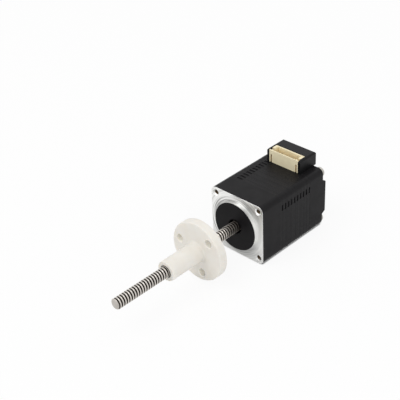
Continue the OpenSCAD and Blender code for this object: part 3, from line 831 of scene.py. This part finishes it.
def solid_copy(node):
    """Merged copy of a solid's mesh, with its flat faces joined up."""
    flat = math.radians(0.5)
    mesh = bpy.data.meshes.new(node)
    with edited(mesh, frame["nodes"][node].data) as shape:
        bmesh.ops.remove_doubles(shape, verts=shape.verts, dist=MERGE)
        bmesh.ops.dissolve_limit(
            shape, angle_limit=flat, verts=shape.verts, edges=shape.edges,
            use_dissolve_boundaries=False,
        )
    mesh.materials.clear()
    return mesh


def paint(mesh, slot, test):
    """Gives the faces that pass a test another of the piece's materials."""
    for face in mesh.polygons:
        if test(face.center, face.normal):
            face.material_index = slot


def present(name, mesh, materials, body, node, angle=30):
    """Puts a finished mesh on its body in place of a solid."""
    for material in materials:
        mesh.materials.append(material)
    limit = math.radians(angle)
    with edited(mesh) as shape:
        for face in shape.faces:
            face.smooth = True
        for edge in shape.edges:
            edge.smooth = not (len(edge.link_faces) == 2 and edge.calc_face_angle() > limit)
    piece = placed(name, mesh)
    modifier = piece.modifiers.new("Even shading", "WEIGHTED_NORMAL")
    modifier.keep_sharp = True
    even = evaluated(piece)
    piece.modifiers.clear()
    piece.data = even
    even.name = name
    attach(piece, body)
    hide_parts(node)
    return piece


# Geometry node trees

def grown(tree, values):
    """Mesh that a geometry node tree makes from these input values."""
    piece = placed("grown", bpy.data.meshes.new("grown"))
    modifier = piece.modifiers.new("Grow", "NODES")
    modifier.node_group = tree
    for item in tree.interface.items_tree:
        if item.in_out == "INPUT" and item.name in values:
            modifier[item.identifier] = values[item.name]
    result = evaluated(piece)
    piece.modifiers.clear()
    bpy.data.objects.remove(piece)
    result.materials.clear()
    return result


def finish_tree(result, geometry, material):
    """Ends a tree with real geometry that carries its material."""
    tree = geometry.tree
    real = make(tree, "GeometryNodeRealizeInstances", {0: geometry})
    dressed = make(tree, "GeometryNodeSetMaterial", {"Geometry": real, "Material": material})
    connect(result, {"Mesh": dressed})
    return tree


def thread_tree():
    """Left handed thread about the Y axis: a sheet of points wound into a helix."""
    sewing = 2e-6
    inputs = [
        ("Lead", FLOAT, 0.001), ("Outer radius", FLOAT, 0.002), ("Depth", FLOAT, 0.0005),
        ("Root share", FLOAT, 0.30), ("Crest share", FLOAT, 0.60), ("First turn", FLOAT, 0.0),
        ("Turns", INT, 10), ("Steps", INT, 40), ("Rows", INT, 12), ("Material", MATERIAL, None),
    ]
    tree, given, result = named_group("Thread", "GeometryNodeTree", inputs, [("Mesh", GEOMETRY)])
    depth, per_turn = given["Depth"], given["Rows"]
    rows = given["Turns"] * per_turn
    grid = make(tree, "GeometryNodeMeshGrid", {
        "Size X": 1.0, "Size Y": 1.0, "Vertices X": given["Steps"] + 1.0, "Vertices Y": rows + 1.0,
    })
    sheet_x, sheet_y, _ = parted(make(tree, "GeometryNodeInputPosition"))
    round_turn = sheet_x + 0.5
    passed = maths("ROUND", (sheet_y + 0.5) * rows) / per_turn
    wave = abs(maths("FRACT", passed) * 2.0 - 1.0)
    raised = ramp(wave, given["Root share"], given["Crest share"], smooth=True)
    radius = maths("MULTIPLY_ADD", raised, depth, given["Outer radius"] - depth)
    angle = round_turn * FULL_TURN
    level = round_turn - (passed + given["First turn"])
    x, z = (radius * maths(wheel, angle) for wheel in ("COSINE", "SINE"))
    wound = {"Geometry": grid, "Position": joined(tree, x, level * given["Lead"], z)}
    helix = make(tree, "GeometryNodeSetPosition", wound)
    sewn = make(tree, "GeometryNodeMergeByDistance", {"Geometry": helix, "Distance": sewing})
    return finish_tree(result, sewn, given["Material"])


def repeat_tree(name):
    """Copies of one piece along a line, each group of copies turned about Y."""
    inputs = [
        ("Piece", OBJECT, None), ("Count", INT, 4), ("Group", INT, 1),
        ("Start X", FLOAT, 0.0), ("Step X", FLOAT, 0.0), ("Start Y", FLOAT, 0.0),
        ("Step Y", FLOAT, 0.0), ("Quarter turn", FLOAT, 0.0), ("Spread", FLOAT, 0.0),
        ("Seed", INT, 7), ("Material", MATERIAL, None),
    ]
    tree, given, result = named_group(name, "GeometryNodeTree", inputs, [("Mesh", GEOMETRY)])
    index = make(tree, "GeometryNodeInputIndex")
    points = make(tree, "GeometryNodeMeshLine", {
        "Count": given["Count"],
        "Start Location": joined(tree, given["Start X"], given["Start Y"]),
        "Offset": joined(tree, given["Step X"], given["Step Y"]),
    })
    turned = maths("FLOOR", index / given["Group"]) * given["Quarter turn"]
    # Sockets of a random number: lowest, highest, which copy, seed
    shift = {2: given["Spread"] * -1.0, 3: 0.0, 7: index, 8: given["Seed"]}
    size = make(tree, "FunctionNodeRandomValue", shift, 1, data_type="FLOAT") + 1.0
    copies = make(tree, "GeometryNodeInstanceOnPoints", {
        "Points": points,
        "Instance": make(tree, "GeometryNodeObjectInfo", {"Object": given["Piece"]}, "Geometry"),
        "Rotation": joined(tree, y=turned),
        "Scale": joined(tree, size, 1.0, size),
    })
    return finish_tree(result, copies, given["Material"])


def closed_thread(low, high, spare, outer_r):
    """Threaded rod past two stations by spare turns, closed at its ends by fans to the axis."""
    sizes = bpy.context.scene.motor_thread
    first = math.floor(-high / sizes.lead) - spare[0]
    turns = math.ceil(-low / sizes.lead) + spare[1] - first
    mesh = grown(bpy.data.node_groups.get("Thread") or thread_tree(), {
        "Lead": sizes.lead, "Outer radius": outer_r, "Depth": sizes.depth,
        "First turn": first, "Turns": turns, "Root share": sizes.root_share,
        "Crest share": sizes.crest_share, "Steps": sizes.turn_steps, "Rows": sizes.turn_rows,
    })
    with edited(mesh) as shape:
        rim = [edge for edge in shape.edges if len(edge.link_faces) == 1]
        middle = sum(corner.co.y for corner in shape.verts) / len(shape.verts)
        for side in (-1, 1):
            end = [edge for edge in rim if side * (edge.verts[0].co.y - middle) > 0]
            station = sum(edge.verts[0].co.y for edge in end) / len(end)
            hub = shape.verts.new((0, station, 0))
            for edge in end:
                shape.faces.new((*edge.verts, hub))
        bmesh.ops.recalc_face_normals(shape, faces=shape.faces)
    return mesh


def repeated(name, mesh, values):
    """Copies of a mesh made by the tree that repeats pieces, as one mesh."""
    piece = placed(name, mesh)
    result = grown(repeat_tree(name), {"Piece": piece, **values})
    bpy.data.objects.remove(piece)
    return result


# Operators

class PieceOperator:
    """What every operator of this file shares."""

    bl_options = {"REGISTER", "UNDO"}


class MOTOR_OT_front_bell(PieceOperator, bpy.types.Operator):
    """Front end bell with its turned face, centring boss and tapped holes"""

    bl_idname = "motor.front_bell"
    bl_label = "Front end bell"

    def execute(self, context):
        case, finish = context.scene.motor_case, context.scene.motor_finish
        flattest, steepest, boss_gloss = 0.985, 0.15, 0.085
        ends = (case.face_edge, case.joint_edge)
        bell = rounded_block("bell", BELL_HIGH.x, case.corner_r, 0, BELL_HIGH.y, ends)
        boss = turn("boss", [
            (0, BELL_LOW.y), (PILOT_R - case.face_edge, BELL_LOW.y),
            (PILOT_R, BELL_LOW.y + case.face_edge), (PILOT_R, BELL_LOW.y + case.painted_edge),
            (PILOT_R, PAST), (0, PAST),
        ], steps=128)
        bell = combine(bell, boss, "UNION")
        bell = cut(bell, [self.inner_space(case)])
        bell = cut(bell, (self.corner_hole(case, axis) for axis in corner_axes()))
        slopes = [abs(face.normal.y) for face in bell.polygons]
        mark_edges(bell, [float(steepest < slope < flattest) for slope in slopes])
        paint(bell, 1, lambda centre, normal: self.is_bare(centre, normal, case))
        paint(bell, 2, lambda centre, normal: centre.y < BELL_LOW.y + case.painted_edge)
        # Painted shade: the walls inside the mounting holes take a dark colour for the shade in
        # them.
        paint(bell, 3, lambda centre, normal: self.in_hole(centre, case))
        materials = [
            painted_casting(finish), bare_face(finish),
            painted_casting(finish, "boss_paint", boss_gloss),
            brushed_metal("tapped_hole", finish.tapped, 0.45, 6000.0),
        ]
        present("front_bell", bell, materials, "motor", "front_end_bell")
        return {"FINISHED"}

    @staticmethod
    def is_bare(centre, normal, case):
        """True on the mounting face with its chamfers, and on the wall of the boss."""
        in_bore = math.hypot(centre.x, centre.z) < 0.9 * PILOT_R and abs(normal.y) < 0.9
        turned = BELL_LOW.y + case.painted_edge < centre.y < 2 * case.countersink
        faces_front = normal.y < -0.3
        return turned and not in_bore and (faces_front or centre.y < 0)

    @staticmethod
    def in_hole(centre, case):
        """True inside the mounting holes, behind their countersinks."""
        end, reach = BELL_HIGH.y - 1 * MM, 1.1 * BOLTS["hole_r"]
        return case.countersink < centre.y < end and nearest(centre, corner_axes()) < reach

    @staticmethod
    def inner_space(case):
        """Tool for the screw's hole, the bearing pocket and the winding space."""
        gap, race_gap, hole_step = 0.2 * MM, 0.02 * MM, 0.16 * MM
        race_r = reach_from_axis("front_bearing_inner_race", RACE_LOW.y, RACE_HIGH.y)
        hole_r = race_r - hole_step
        pocket_r = RACE_HIGH.x + race_gap
        space_r = FRONT_FRAME_HIGH.x + gap
        space = FRONT_FRAME_LOW.y - 1.5 * gap
        front, back = BELL_LOW.y - PAST, BELL_HIGH.y + PAST
        return turn("space", [
            (0, front), (hole_r + case.edge + PAST, front), (hole_r, BELL_LOW.y + case.edge),
            (hole_r, RACE_LOW.y), (pocket_r, RACE_LOW.y), (pocket_r, space), (space_r, space),
            (space_r, back), (0, back),
        ], steps=96)

    @staticmethod
    def corner_hole(case, axis):
        """Tool for a countersunk and tapped mounting hole with the tie screw's hole behind it."""
        tie_r, back = 1.0 * MM, BELL_HIGH.y + PAST
        thread_r = BOLTS["hole_r"]
        drill_r = thread_r - case.bolt_thread
        start = case.countersink + case.bolt_thread
        grooves = []
        for k in range(int((case.bolt_depth - start) / case.bolt_lead)):
            grooves.append((drill_r, start + k * case.bolt_lead))
            grooves.append((thread_r, start + (k + 0.5) * case.bolt_lead))
        return turn("hole", [
            (0, -PAST), (thread_r + case.countersink + PAST, -PAST), *grooves,
            (drill_r, case.bolt_depth), (tie_r, case.bolt_depth), (tie_r, back), (0, back),
        ], steps=32, axis=axis)


class MOTOR_OT_stack(PieceOperator, bpy.types.Operator):
    """Stator stack of separate sheets, each group turned a quarter from the last"""

    bl_idname = "motor.stack"
    bl_label = "Stator stack"

    def execute(self, context):
        case, finish = context.scene.motor_case, context.scene.motor_finish
        pitch = (STACK_HIGH.y - STACK_LOW.y) / case.sheets
        sheets = repeated("sheet", self.sheet(pitch - case.sheet_gap), {
            "Count": case.sheets, "Group": case.group, "Start Y": STACK_LOW.y, "Step Y": pitch,
            "Quarter turn": QUARTER_TURN, "Spread": case.sheet_shift / STACK_HIGH.x,
        })
        edges = [sheet_edges(finish)]
        present("sheet_stack", sheets, edges, "motor", "stator_stack")
        return {"FINISHED"}

    @staticmethod
    def sheet(thickness):
        """One sheet, from the front face of the solid stack."""
        level = STACK_LOW.y + MERGE
        mesh = bpy.data.meshes.new("sheet")
        with edited(mesh, frame["nodes"]["stator_stack"].data) as shape:
            bmesh.ops.remove_doubles(shape, verts=shape.verts, dist=MERGE)
            others = [
                face for face in shape.faces if max(corner.co.y for corner in face.verts) > level
            ]
            bmesh.ops.delete(shape, geom=others, context="FACES")
            made = bmesh.ops.extrude_face_region(shape, geom=shape.faces[:])["geom"]
            moved = [item for item in made if isinstance(item, bmesh.types.BMVert)]
            bmesh.ops.translate(shape, verts=moved, vec=(0, thickness, 0))
            bmesh.ops.translate(shape, verts=shape.verts, vec=(0, -STACK_LOW.y, 0))
            bmesh.ops.recalc_face_normals(shape, faces=shape.faces)
        return mesh


class MOTOR_OT_rear_bell(PieceOperator, bpy.types.Operator):
    """Rear end bell with rounded casting edges"""

    bl_idname = "motor.rear_bell"
    bl_label = "Rear end bell"

    def execute(self, context):
        case, finish = context.scene.motor_case, context.scene.motor_finish
        bell = softened(solid_copy("rear_end_bell"), case.edge)
        present(
            "rear_bell", bell, [painted_casting(finish)], "motor", "rear_end_bell"
        )
        return {"FINISHED"}


class MOTOR_OT_tie_screws(PieceOperator, bpy.types.Operator):
    """Four pan head tie screws with cross recesses"""

    bl_idname = "motor.tie_screws"
    bl_label = "Tie screws"

    def execute(self, context):
        case, finish = context.scene.motor_case, context.scene.motor_finish
        screw = cut(self.blank_screw(case), [self.cross(case)])
        screw.transform(Matrix.Translation((TIE_HALF, 0, TIE_HALF)))
        turns = {"Count": 4, "Group": 1, "Quarter turn": QUARTER_TURN}
        screws = repeated("tie_screw", screw, turns)
        steel = brushed_metal("plated_steel", finish.plated, 0.26, 6000.0)
        present("tie_screw_set", screws, [steel], "motor", "tie_screws")
        return {"FINISHED"}

    @staticmethod
    def blank_screw(case):
        """Screw with a domed head, before its recess is cut."""
        shank_r, tip, dome_r = 0.98 * MM, 0.2 * MM, 0.3 * case.head_h
        head_r = TIE_HIGH.x - TIE_HALF
        seat = TIE_HIGH.y - case.head_h
        dome = arc_corner((head_r, seat), (head_r, TIE_HIGH.y), (0, TIE_HIGH.y), dome_r, steps=6)
        return turn("screw", [
            (0, TIE_LOW.y), (shank_r - tip, TIE_LOW.y), (shank_r, TIE_LOW.y + tip),
            (shank_r, seat), (head_r - tip, seat), (head_r, seat + tip),
            *dome, (0, TIE_HIGH.y),
        ], steps=48)

    @staticmethod
    def cross(case):
        """Tapered tool with four arms."""
        arm_half, above = 0.24 * MM, 0.1 * MM
        depth, floor_share = 0.62 * case.head_h, 0.5
        rings = []
        for station, share in ((TIE_HIGH.y - depth, floor_share), (TIE_HIGH.y + above, 1.0)):
            arm, half = case.recess * share, arm_half * (0.6 + 0.4 * share)
            corners = []
            for quarter in range(4):
                facing = Matrix.Rotation(quarter * QUARTER_TURN, 2).inverted()
                arms = ((half, half), (arm, half), (arm, -half))
                corners += [facing @ Vector(corner) for corner in arms]
            rings.append([(x, station, z) for x, z in corners])
        return loft("cross", rings)


class MOTOR_OT_connector(PieceOperator, bpy.types.Operator):
    """Socket on top of the motor: cover, header, contacts and anchors"""

    bl_idname = "motor.connector"
    bl_label = "Connector"

    def execute(self, context):
        case, finish = context.scene.motor_case, context.scene.motor_finish
        anchor_edge = 0.04 * MM
        cover = cut(solid_copy("connector_cover"), [self.cheek_slope(case)])
        cover = softened(cover, case.moulded_edge)
        black = [black_moulding(finish)]
        present("cover", cover, black, "motor", "connector_cover")
        header = cut(solid_copy("connector_header"), self.header_cuts(case))
        header = softened(header, case.header_edge)
        nylon = [header_nylon(finish)]
        present("header", header, nylon, "motor", "connector_header")
        tin = brushed_metal("tinned_contact", finish.tin, 0.25, 7000.0)
        contacts = repeated("contact", self.contact(case), {
            "Count": case.contacts, "Group": 1, "Start X": PIN_LOW.x + case.contact_t / 2,
            "Step X": (PIN_HIGH.x - PIN_LOW.x - case.contact_t) / (case.contacts - 1),
        })
        present("contacts", contacts, [tin], "motor", "connector_pins")
        anchors = softened(solid_copy("connector_anchors"), anchor_edge)
        # The anchors' front edges show raw brass, darkened as painted shade for their slots.
        paint(anchors, 1, lambda centre, normal: normal.y < -0.5)
        strip = [tin, brushed_metal("cut_brass", finish.brass, 0.45, 7000.0)]
        present("anchors", anchors, strip, "motor", "connector_anchors")
        return {"FINISHED"}

    @staticmethod
    def cheek_slope(case):
        """Tool that slopes the front ends of the cover's cheeks."""
        low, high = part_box("connector_cover")
        steep = case.cheek_drop / case.cheek_run
        front, foot = low.y - PAST, high.z - case.cheek_drop
        top = high.z + steep * PAST
        side = [(front, foot - steep * PAST), (low.y + case.cheek_run + PAST, top), (front, top)]
        return loft("slope", [[(x, *spot) for spot in side] for x in (low.x - PAST, high.x + PAST)])

    @staticmethod
    def header_cuts(case):
        """Tools for the header's pocket, its anchor slots and the notches beside its front wall."""
        slot_depth, slot_past = 0.7 * MM, 0.05 * MM
        notch_from, notch_to, notch_inset = 0.05 * MM, 0.6 * MM, 0.35 * MM
        half, slot = HEADER_HIGH.x - case.end_wall, case.anchor_slot / 2
        front, back = HEADER_LOW.y + case.front_wall, HEADER_HIGH.y - HEADER_BACK_WALL
        top = HEADER_HIGH.z + PAST
        yield block("pocket", (-half, front, HEADER_LOW.z + HEADER_FLOOR), (half, back, top))
        for side in (-1, 1):
            low = (side * ANCHOR_X - slot, HEADER_LOW.y - PAST, HEADER_LOW.z - PAST)
            high = (side * ANCHOR_X + slot, HEADER_LOW.y + slot_depth, ANCHOR_HIGH.z + slot_past)
            yield block("slot", low, high)
            across = sorted((side * (half + notch_inset), side * (HEADER_HIGH.x + PAST)))
            low = (across[0], front + notch_from, HEADER_HIGH.z - case.end_notch)
            yield block("notch", low, (across[1], front + notch_to, top))

    @staticmethod
    def contact(case):
        """One bent square contact with a pointed tip."""
        point, point_share, bend_share = 0.35 * MM, 0.4, 0.3
        half, wide = case.contact_t / 2, case.contact_t
        front, back, low, high = PIN_LOW.y, PIN_HIGH.y, PIN_LOW.z, PIN_HIGH.z
        side = rounded([
            (front, low, bend_share * half), (back, low, 0), (back, low + wide, 0),
            (front + wide, low + wide, bend_share * half), (front + wide, high - point, 0),
            (front + 1.4 * half, high, 0), (front + 0.6 * half, high, 0), (front, high - point, 0),
        ], steps=3)
        tip = high - point / 2
        return loft("contact", [
            [(x * (point_share if z > tip else 1.0), y, z) for y, z in side] for x in (-half, half)
        ])


class MOTOR_OT_screw(PieceOperator, bpy.types.Operator):
    """Lead screw with its left handed thread, and the plain shaft inside the motor"""

    bl_idname = "motor.screw"
    bl_label = "Lead screw"

    def execute(self, context):
        sizes, finish = context.scene.motor_thread, context.scene.motor_finish
        rod = closed_thread(SCREW_LOW.y, RACE_LOW.y, (3, 3), sizes.outer_r)
        rod = combine(rod, self.envelope(sizes), "INTERSECT")
        rod = combine(rod, self.shaft(), "UNION")
        steel = [rolled_steel(finish)]
        present("threaded_screw", rod, steel, "rotor", "lead_screw", angle=40)
        return {"FINISHED"}

    @staticmethod
    def seat():
        """Station where the thread ends and the plain shaft begins."""
        step = 0.05 * MM
        points = node_points("lead_screw")
        wide = np.hypot(points[:, 0], points[:, 2]) > THREAD_R + step
        return float(points[wide, 1].min())

    def envelope(self, sizes):
        """Outside of the threaded length: a tapered tip, and an end inside the shaft."""
        room, overlap = 0.05 * MM, 0.3 * MM
        end, low = self.seat() + overlap, SCREW_LOW.y
        outer_r, chamfer = sizes.outer_r, sizes.tip_chamfer
        return turn("envelope", [
            (0, low), (outer_r - 2 * chamfer, low), (outer_r - 0.8 * chamfer, low + 0.5 * chamfer),
            (outer_r + room, low + 1.6 * chamfer), (outer_r + room, end), (0, end),
        ], steps=64)

    def shaft(self):
        """Plain shaft with a chamfered end."""
        chamfer = 0.3 * MM
        start, end, shaft_r = self.seat(), SCREW_HIGH.y, SCREW_HIGH.x
        return turn("shaft", [
            (0, start), (shaft_r, start), (shaft_r, end - chamfer), (shaft_r - chamfer, end),
            (0, end),
        ], steps=64)


class MOTOR_OT_nut(PieceOperator, bpy.types.Operator):
    """Flanged plastic nut with rounded edges, screw holes and a threaded bore"""

    bl_idname = "motor.nut"
    bl_label = "Flange nut"

    def execute(self, context):
        sizes, finish = context.scene.motor_thread, context.scene.motor_finish
        nut = turn("nut", self.outline(sizes), steps=96, loop=True)
        nut = cut(nut, (self.hole(axis) for axis in nut_hole_axes()))
        tap_r = sizes.outer_r + sizes.clearance
        nut = cut(nut, [closed_thread(NUT_LOW.y, NUT_HIGH.y, (2, 3), tap_r)])
        # The hole walls take a lighter acetal: painted light that stands in for light coming
        # through the flange.
        paint(nut, 1, self.in_hole)
        acetal = [
            ivory_acetal("ivory_acetal", finish, finish.acetal, finish.acetal_shade),
            ivory_acetal("drilled_acetal", finish, finish.drilled, finish.acetal),
        ]
        present("threaded_nut", nut, acetal, "nut", "flange_nut")
        return {"FINISHED"}

    @staticmethod
    def in_hole(centre, normal):
        """True on the walls of the screw holes."""
        reach = NUT_BOLTS["hole_r"] + 0.15 * MM
        return nearest(centre, nut_hole_axes()) < reach and abs(normal.y) < 0.9

    @staticmethod
    def outline(sizes):
        """Half section of the nut, with its bore drilled to the thread's crests."""
        edge, tip, fillet = 0.4 * MM, 0.5 * MM, 1.0 * MM
        drill_r = sizes.outer_r - sizes.depth + 2 * sizes.clearance
        mouth = sizes.nut_mouth + sizes.depth
        front, back = NUT_LOW.y, NUT_HIGH.y
        return rounded([
            (drill_r, front + mouth, 0), (drill_r + mouth, front, 0), (NUT_BARREL_R, front, tip),
            (NUT_BARREL_R, NUT_FACE, fillet), (NUT_HIGH.x, NUT_FACE, edge),
            (NUT_HIGH.x, back, edge), (drill_r + mouth, back, 0), (drill_r, back - mouth, 0),
        ])

    @staticmethod
    def hole(axis):
        """Tool for one screw hole of the flange, with chamfered mouths."""
        past, chamfer = 0.5 * MM, 0.2 * MM
        radius = NUT_BOLTS["hole_r"]
        wide = radius + chamfer + past
        front, back = NUT_FACE - past, NUT_HIGH.y + past
        return turn("hole", [
            (0, front), (wide, front), (radius, NUT_FACE + chamfer),
            (radius, NUT_HIGH.y - chamfer), (wide, back), (0, back),
        ], steps=40, axis=axis)


class MOTOR_OT_inside(PieceOperator, bpy.types.Operator):
    """Finishes of the pieces inside the motor, which keep the shapes of their solids"""

    bl_idname = "motor.inside"
    bl_label = "Pieces inside"

    def execute(self, context):
        finish = context.scene.motor_finish
        steel = brushed_metal("ground_steel", [0.62, 0.62, 0.63], 0.16, 9000.0)
        spring = brushed_metal("spring_steel", [0.42, 0.42, 0.43], 0.3, 7000.0)
        nylon = moulded_plastic("winding_nylon", [0.02, 0.02, 0.021], 0.42)
        wire = banded("coil_wire", finish.copper, [0.12, 0.04, 0.015], 0.2 * MM, 0.85)
        core = banded("rotor_sheets", [0.34, 0.34, 0.35], [0.1, 0.1, 0.1], 0.5 * MM, 1.0)
        looks = {
            "front_winding_frame": nylon, "rear_winding_frame": nylon,
            "phase_a_coils": wire, "phase_b_coils": wire,
            "winding_terminals": brushed_metal("tinned_terminal", [0.74, 0.72, 0.68], 0.25, 7000.0),
            "circuit_board": moulded_plastic("solder_mask", finish.board, 0.3),
            "rotor_magnet": brushed_metal("plated_magnet", [0.5, 0.5, 0.52], 0.22, 5000.0),
            "rotor_front_core": core, "rotor_rear_core": core, "preload_washer": spring,
            "front_spacer": steel, "rear_spacer": steel,
        }
        for end in ("front", "rear"):
            for part in ("outer_race", "inner_race", "balls"):
                looks[f"{end}_bearing_{part}"] = steel
            for part in ("shields", "cage"):
                looks[f"{end}_bearing_{part}"] = spring
        for node, material in looks.items():
            solid_piece = frame["nodes"][node]
            solid_piece.data.materials.clear()
            solid_piece.data.materials.append(material)
        return {"FINISHED"}


class MOTOR_OT_stage(PieceOperator, bpy.types.Operator):
    """Camera, pale floor and soft studio light"""

    bl_idname = "motor.stage"
    bl_label = "Stage"

    def execute(self, context):
        stage = context.scene.motor_stage
        self.camera(context.scene, stage)
        self.floor(stage)
        self.world(context.scene, stage)
        self.lamps(context.scene)
        context.scene.view_settings.view_transform = "Standard"
        return {"FINISHED"}

    @staticmethod
    def camera(scene, stage):
        """Camera at the picture's own place and angle."""
        sensor = 36.0
        angles = (stage.azimuth, stage.elevation, stage.roll)
        turned, raised, rolled = (math.radians(angle) for angle in angles)
        level = math.cos(raised)
        back = Vector((math.sin(turned) * level, -math.cos(turned) * level, math.sin(raised)))
        right = Vector((math.cos(turned), math.sin(turned), 0))
        up = back.cross(right)
        across = right * math.cos(rolled) - up * math.sin(rolled)
        upward = right * math.sin(rolled) + up * math.cos(rolled)
        middle = stage.picture / 2
        shift = stage.distance / stage.focal
        place = back * stage.distance
        place -= (
            across * (stage.origin_x - middle) * shift + upward * (middle - stage.origin_y) * shift
        )
        lens = bpy.data.cameras.new("camera")
        lens.sensor_width = sensor
        lens.lens = sensor * stage.focal / stage.picture
        lens.clip_start = 10 * MM
        camera = bpy.data.objects.new("camera", lens)
        facing = Matrix((across, upward, back)).transposed().to_4x4()
        camera.matrix_world = Matrix.Translation(place) @ facing
        scene.collection.objects.link(camera)
        scene.camera = camera

    @staticmethod
    def floor(stage):
        """Wide floor under the motor, white to the camera but for the shadow."""
        half, level = 20.0, CAD_BOX[0].z
        dark_below, clear_above = 0.45, 0.85
        ways = ((-1, -1), (1, -1), (1, 1), (-1, 1))
        mesh = bpy.data.meshes.new("floor")
        mesh.from_pydata([(x * half, y * half, level) for x, y in ways], [], [(0, 1, 2, 3)])
        material, tree, shader = blank("pale_floor")
        tree.nodes.remove(shader)
        matt = make(tree, "ShaderNodeBsdfDiffuse", {"Color": opaque(stage.floor)})
        white = make(tree, "ShaderNodeEmission", {"Color": opaque((1, 1, 1)), "Strength": 1.0})
        path = outputs(tree.nodes.new("ShaderNodeLightPath"))
        reach = {"Distance": stage.contact}
        near = make(tree, "ShaderNodeAmbientOcclusion", reach, "AO", samples=16)
        clear = ramp(near, dark_below, clear_above, 0.0, 1.0 - stage.shadow, smooth=True)
        straight = path["Is Camera Ray"] * clear
        share = maths("MAXIMUM", straight, path["Is Glossy Ray"] * stage.shine)
        mixed = make(tree, "ShaderNodeMixShader", {0: share, 1: matt, 2: white})
        connect(tree.nodes["Material Output"], {"Surface": mixed})
        mesh.materials.append(material)
        placed("floor", mesh)

    @staticmethod
    def world(scene, stage):
        """White surroundings that fill the shadows softly."""
        world = bpy.data.worlds.new("white_room")
        world.use_nodes = True
        scene.world = world
        tree = world.node_tree
        path = outputs(tree.nodes.new("ShaderNodeLightPath"))
        seen = maths("MAXIMUM", path["Is Camera Ray"], path["Is Glossy Ray"])
        seen = maths("MAXIMUM", seen, path["Is Transmission Ray"])
        strength = ramp(seen, 0, 1, stage.fill, 1.0)
        white = {"Color": opaque((1, 1, 1)), "Strength": strength}
        connect(tree.nodes["Background"], white)

    @staticmethod
    def lamps(scene):
        """Soft boxes: place, width and power of each."""
        target = Vector((0, -10 * MM, 0))
        boxes = {
            "key": ((-0.22, -0.5, 0.78), 0.6, 2.5),
            "side": ((0.75, -0.05, 0.45), 0.5, 1.2),
            "back": ((0.02, 0.62, 0.8), 0.45, 0.5),
        }
        for name, (place, width, power) in boxes.items():
            light = bpy.data.lights.new(name, "AREA")
            light.size = width
            light.energy = power
            lamp = bpy.data.objects.new(name, light)
            lamp.location = place
            lamp.rotation_euler = (Vector(place) - target).to_track_quat("Z", "Y").to_euler()
            scene.collection.objects.link(lamp)


PIECES = (
    MOTOR_OT_front_bell, MOTOR_OT_stack, MOTOR_OT_rear_bell, MOTOR_OT_tie_screws,
    MOTOR_OT_connector, MOTOR_OT_screw, MOTOR_OT_nut, MOTOR_OT_inside, MOTOR_OT_stage,
)
SETTINGS = {
    "motor_thread": ThreadSizes, "motor_case": CaseSizes, "motor_finish": Finishes,
    "motor_stage": StageSettings,
}


class MOTOR_PT_pieces(bpy.types.Panel):
    """Sidebar list of the operators and settings"""

    bl_idname = "MOTOR_PT_pieces"
    bl_label = "Lead screw motor"
    bl_space_type = "VIEW_3D"
    bl_region_type = "UI"
    bl_category = "Lead Screw Motor"

    def draw(self, context):
        for piece in PIECES:
            self.layout.operator(piece.bl_idname)
        for name, group in SETTINGS.items():
            column = self.layout.column()
            for key in group.__annotations__:
                column.prop(getattr(context.scene, name), key)


CLASSES = (*SETTINGS.values(), *PIECES, MOTOR_PT_pieces)


def register():
    for kind in CLASSES:
        bpy.utils.register_class(kind)
    for name, group in SETTINGS.items():
        setattr(bpy.types.Scene, name, PointerProperty(type=group))


def unregister():
    for name in SETTINGS:
        delattr(bpy.types.Scene, name)
    for kind in reversed(CLASSES):
        bpy.utils.unregister_class(kind)


def main():
    register()
    bpy.ops.motor.front_bell()
    bpy.ops.motor.stack()
    bpy.ops.motor.rear_bell()
    bpy.ops.motor.tie_screws()
    bpy.ops.motor.connector()
    bpy.ops.motor.screw()
    bpy.ops.motor.nut()
    bpy.ops.motor.inside()
    bpy.ops.motor.stage()


if __name__ == "__main__":
    main()
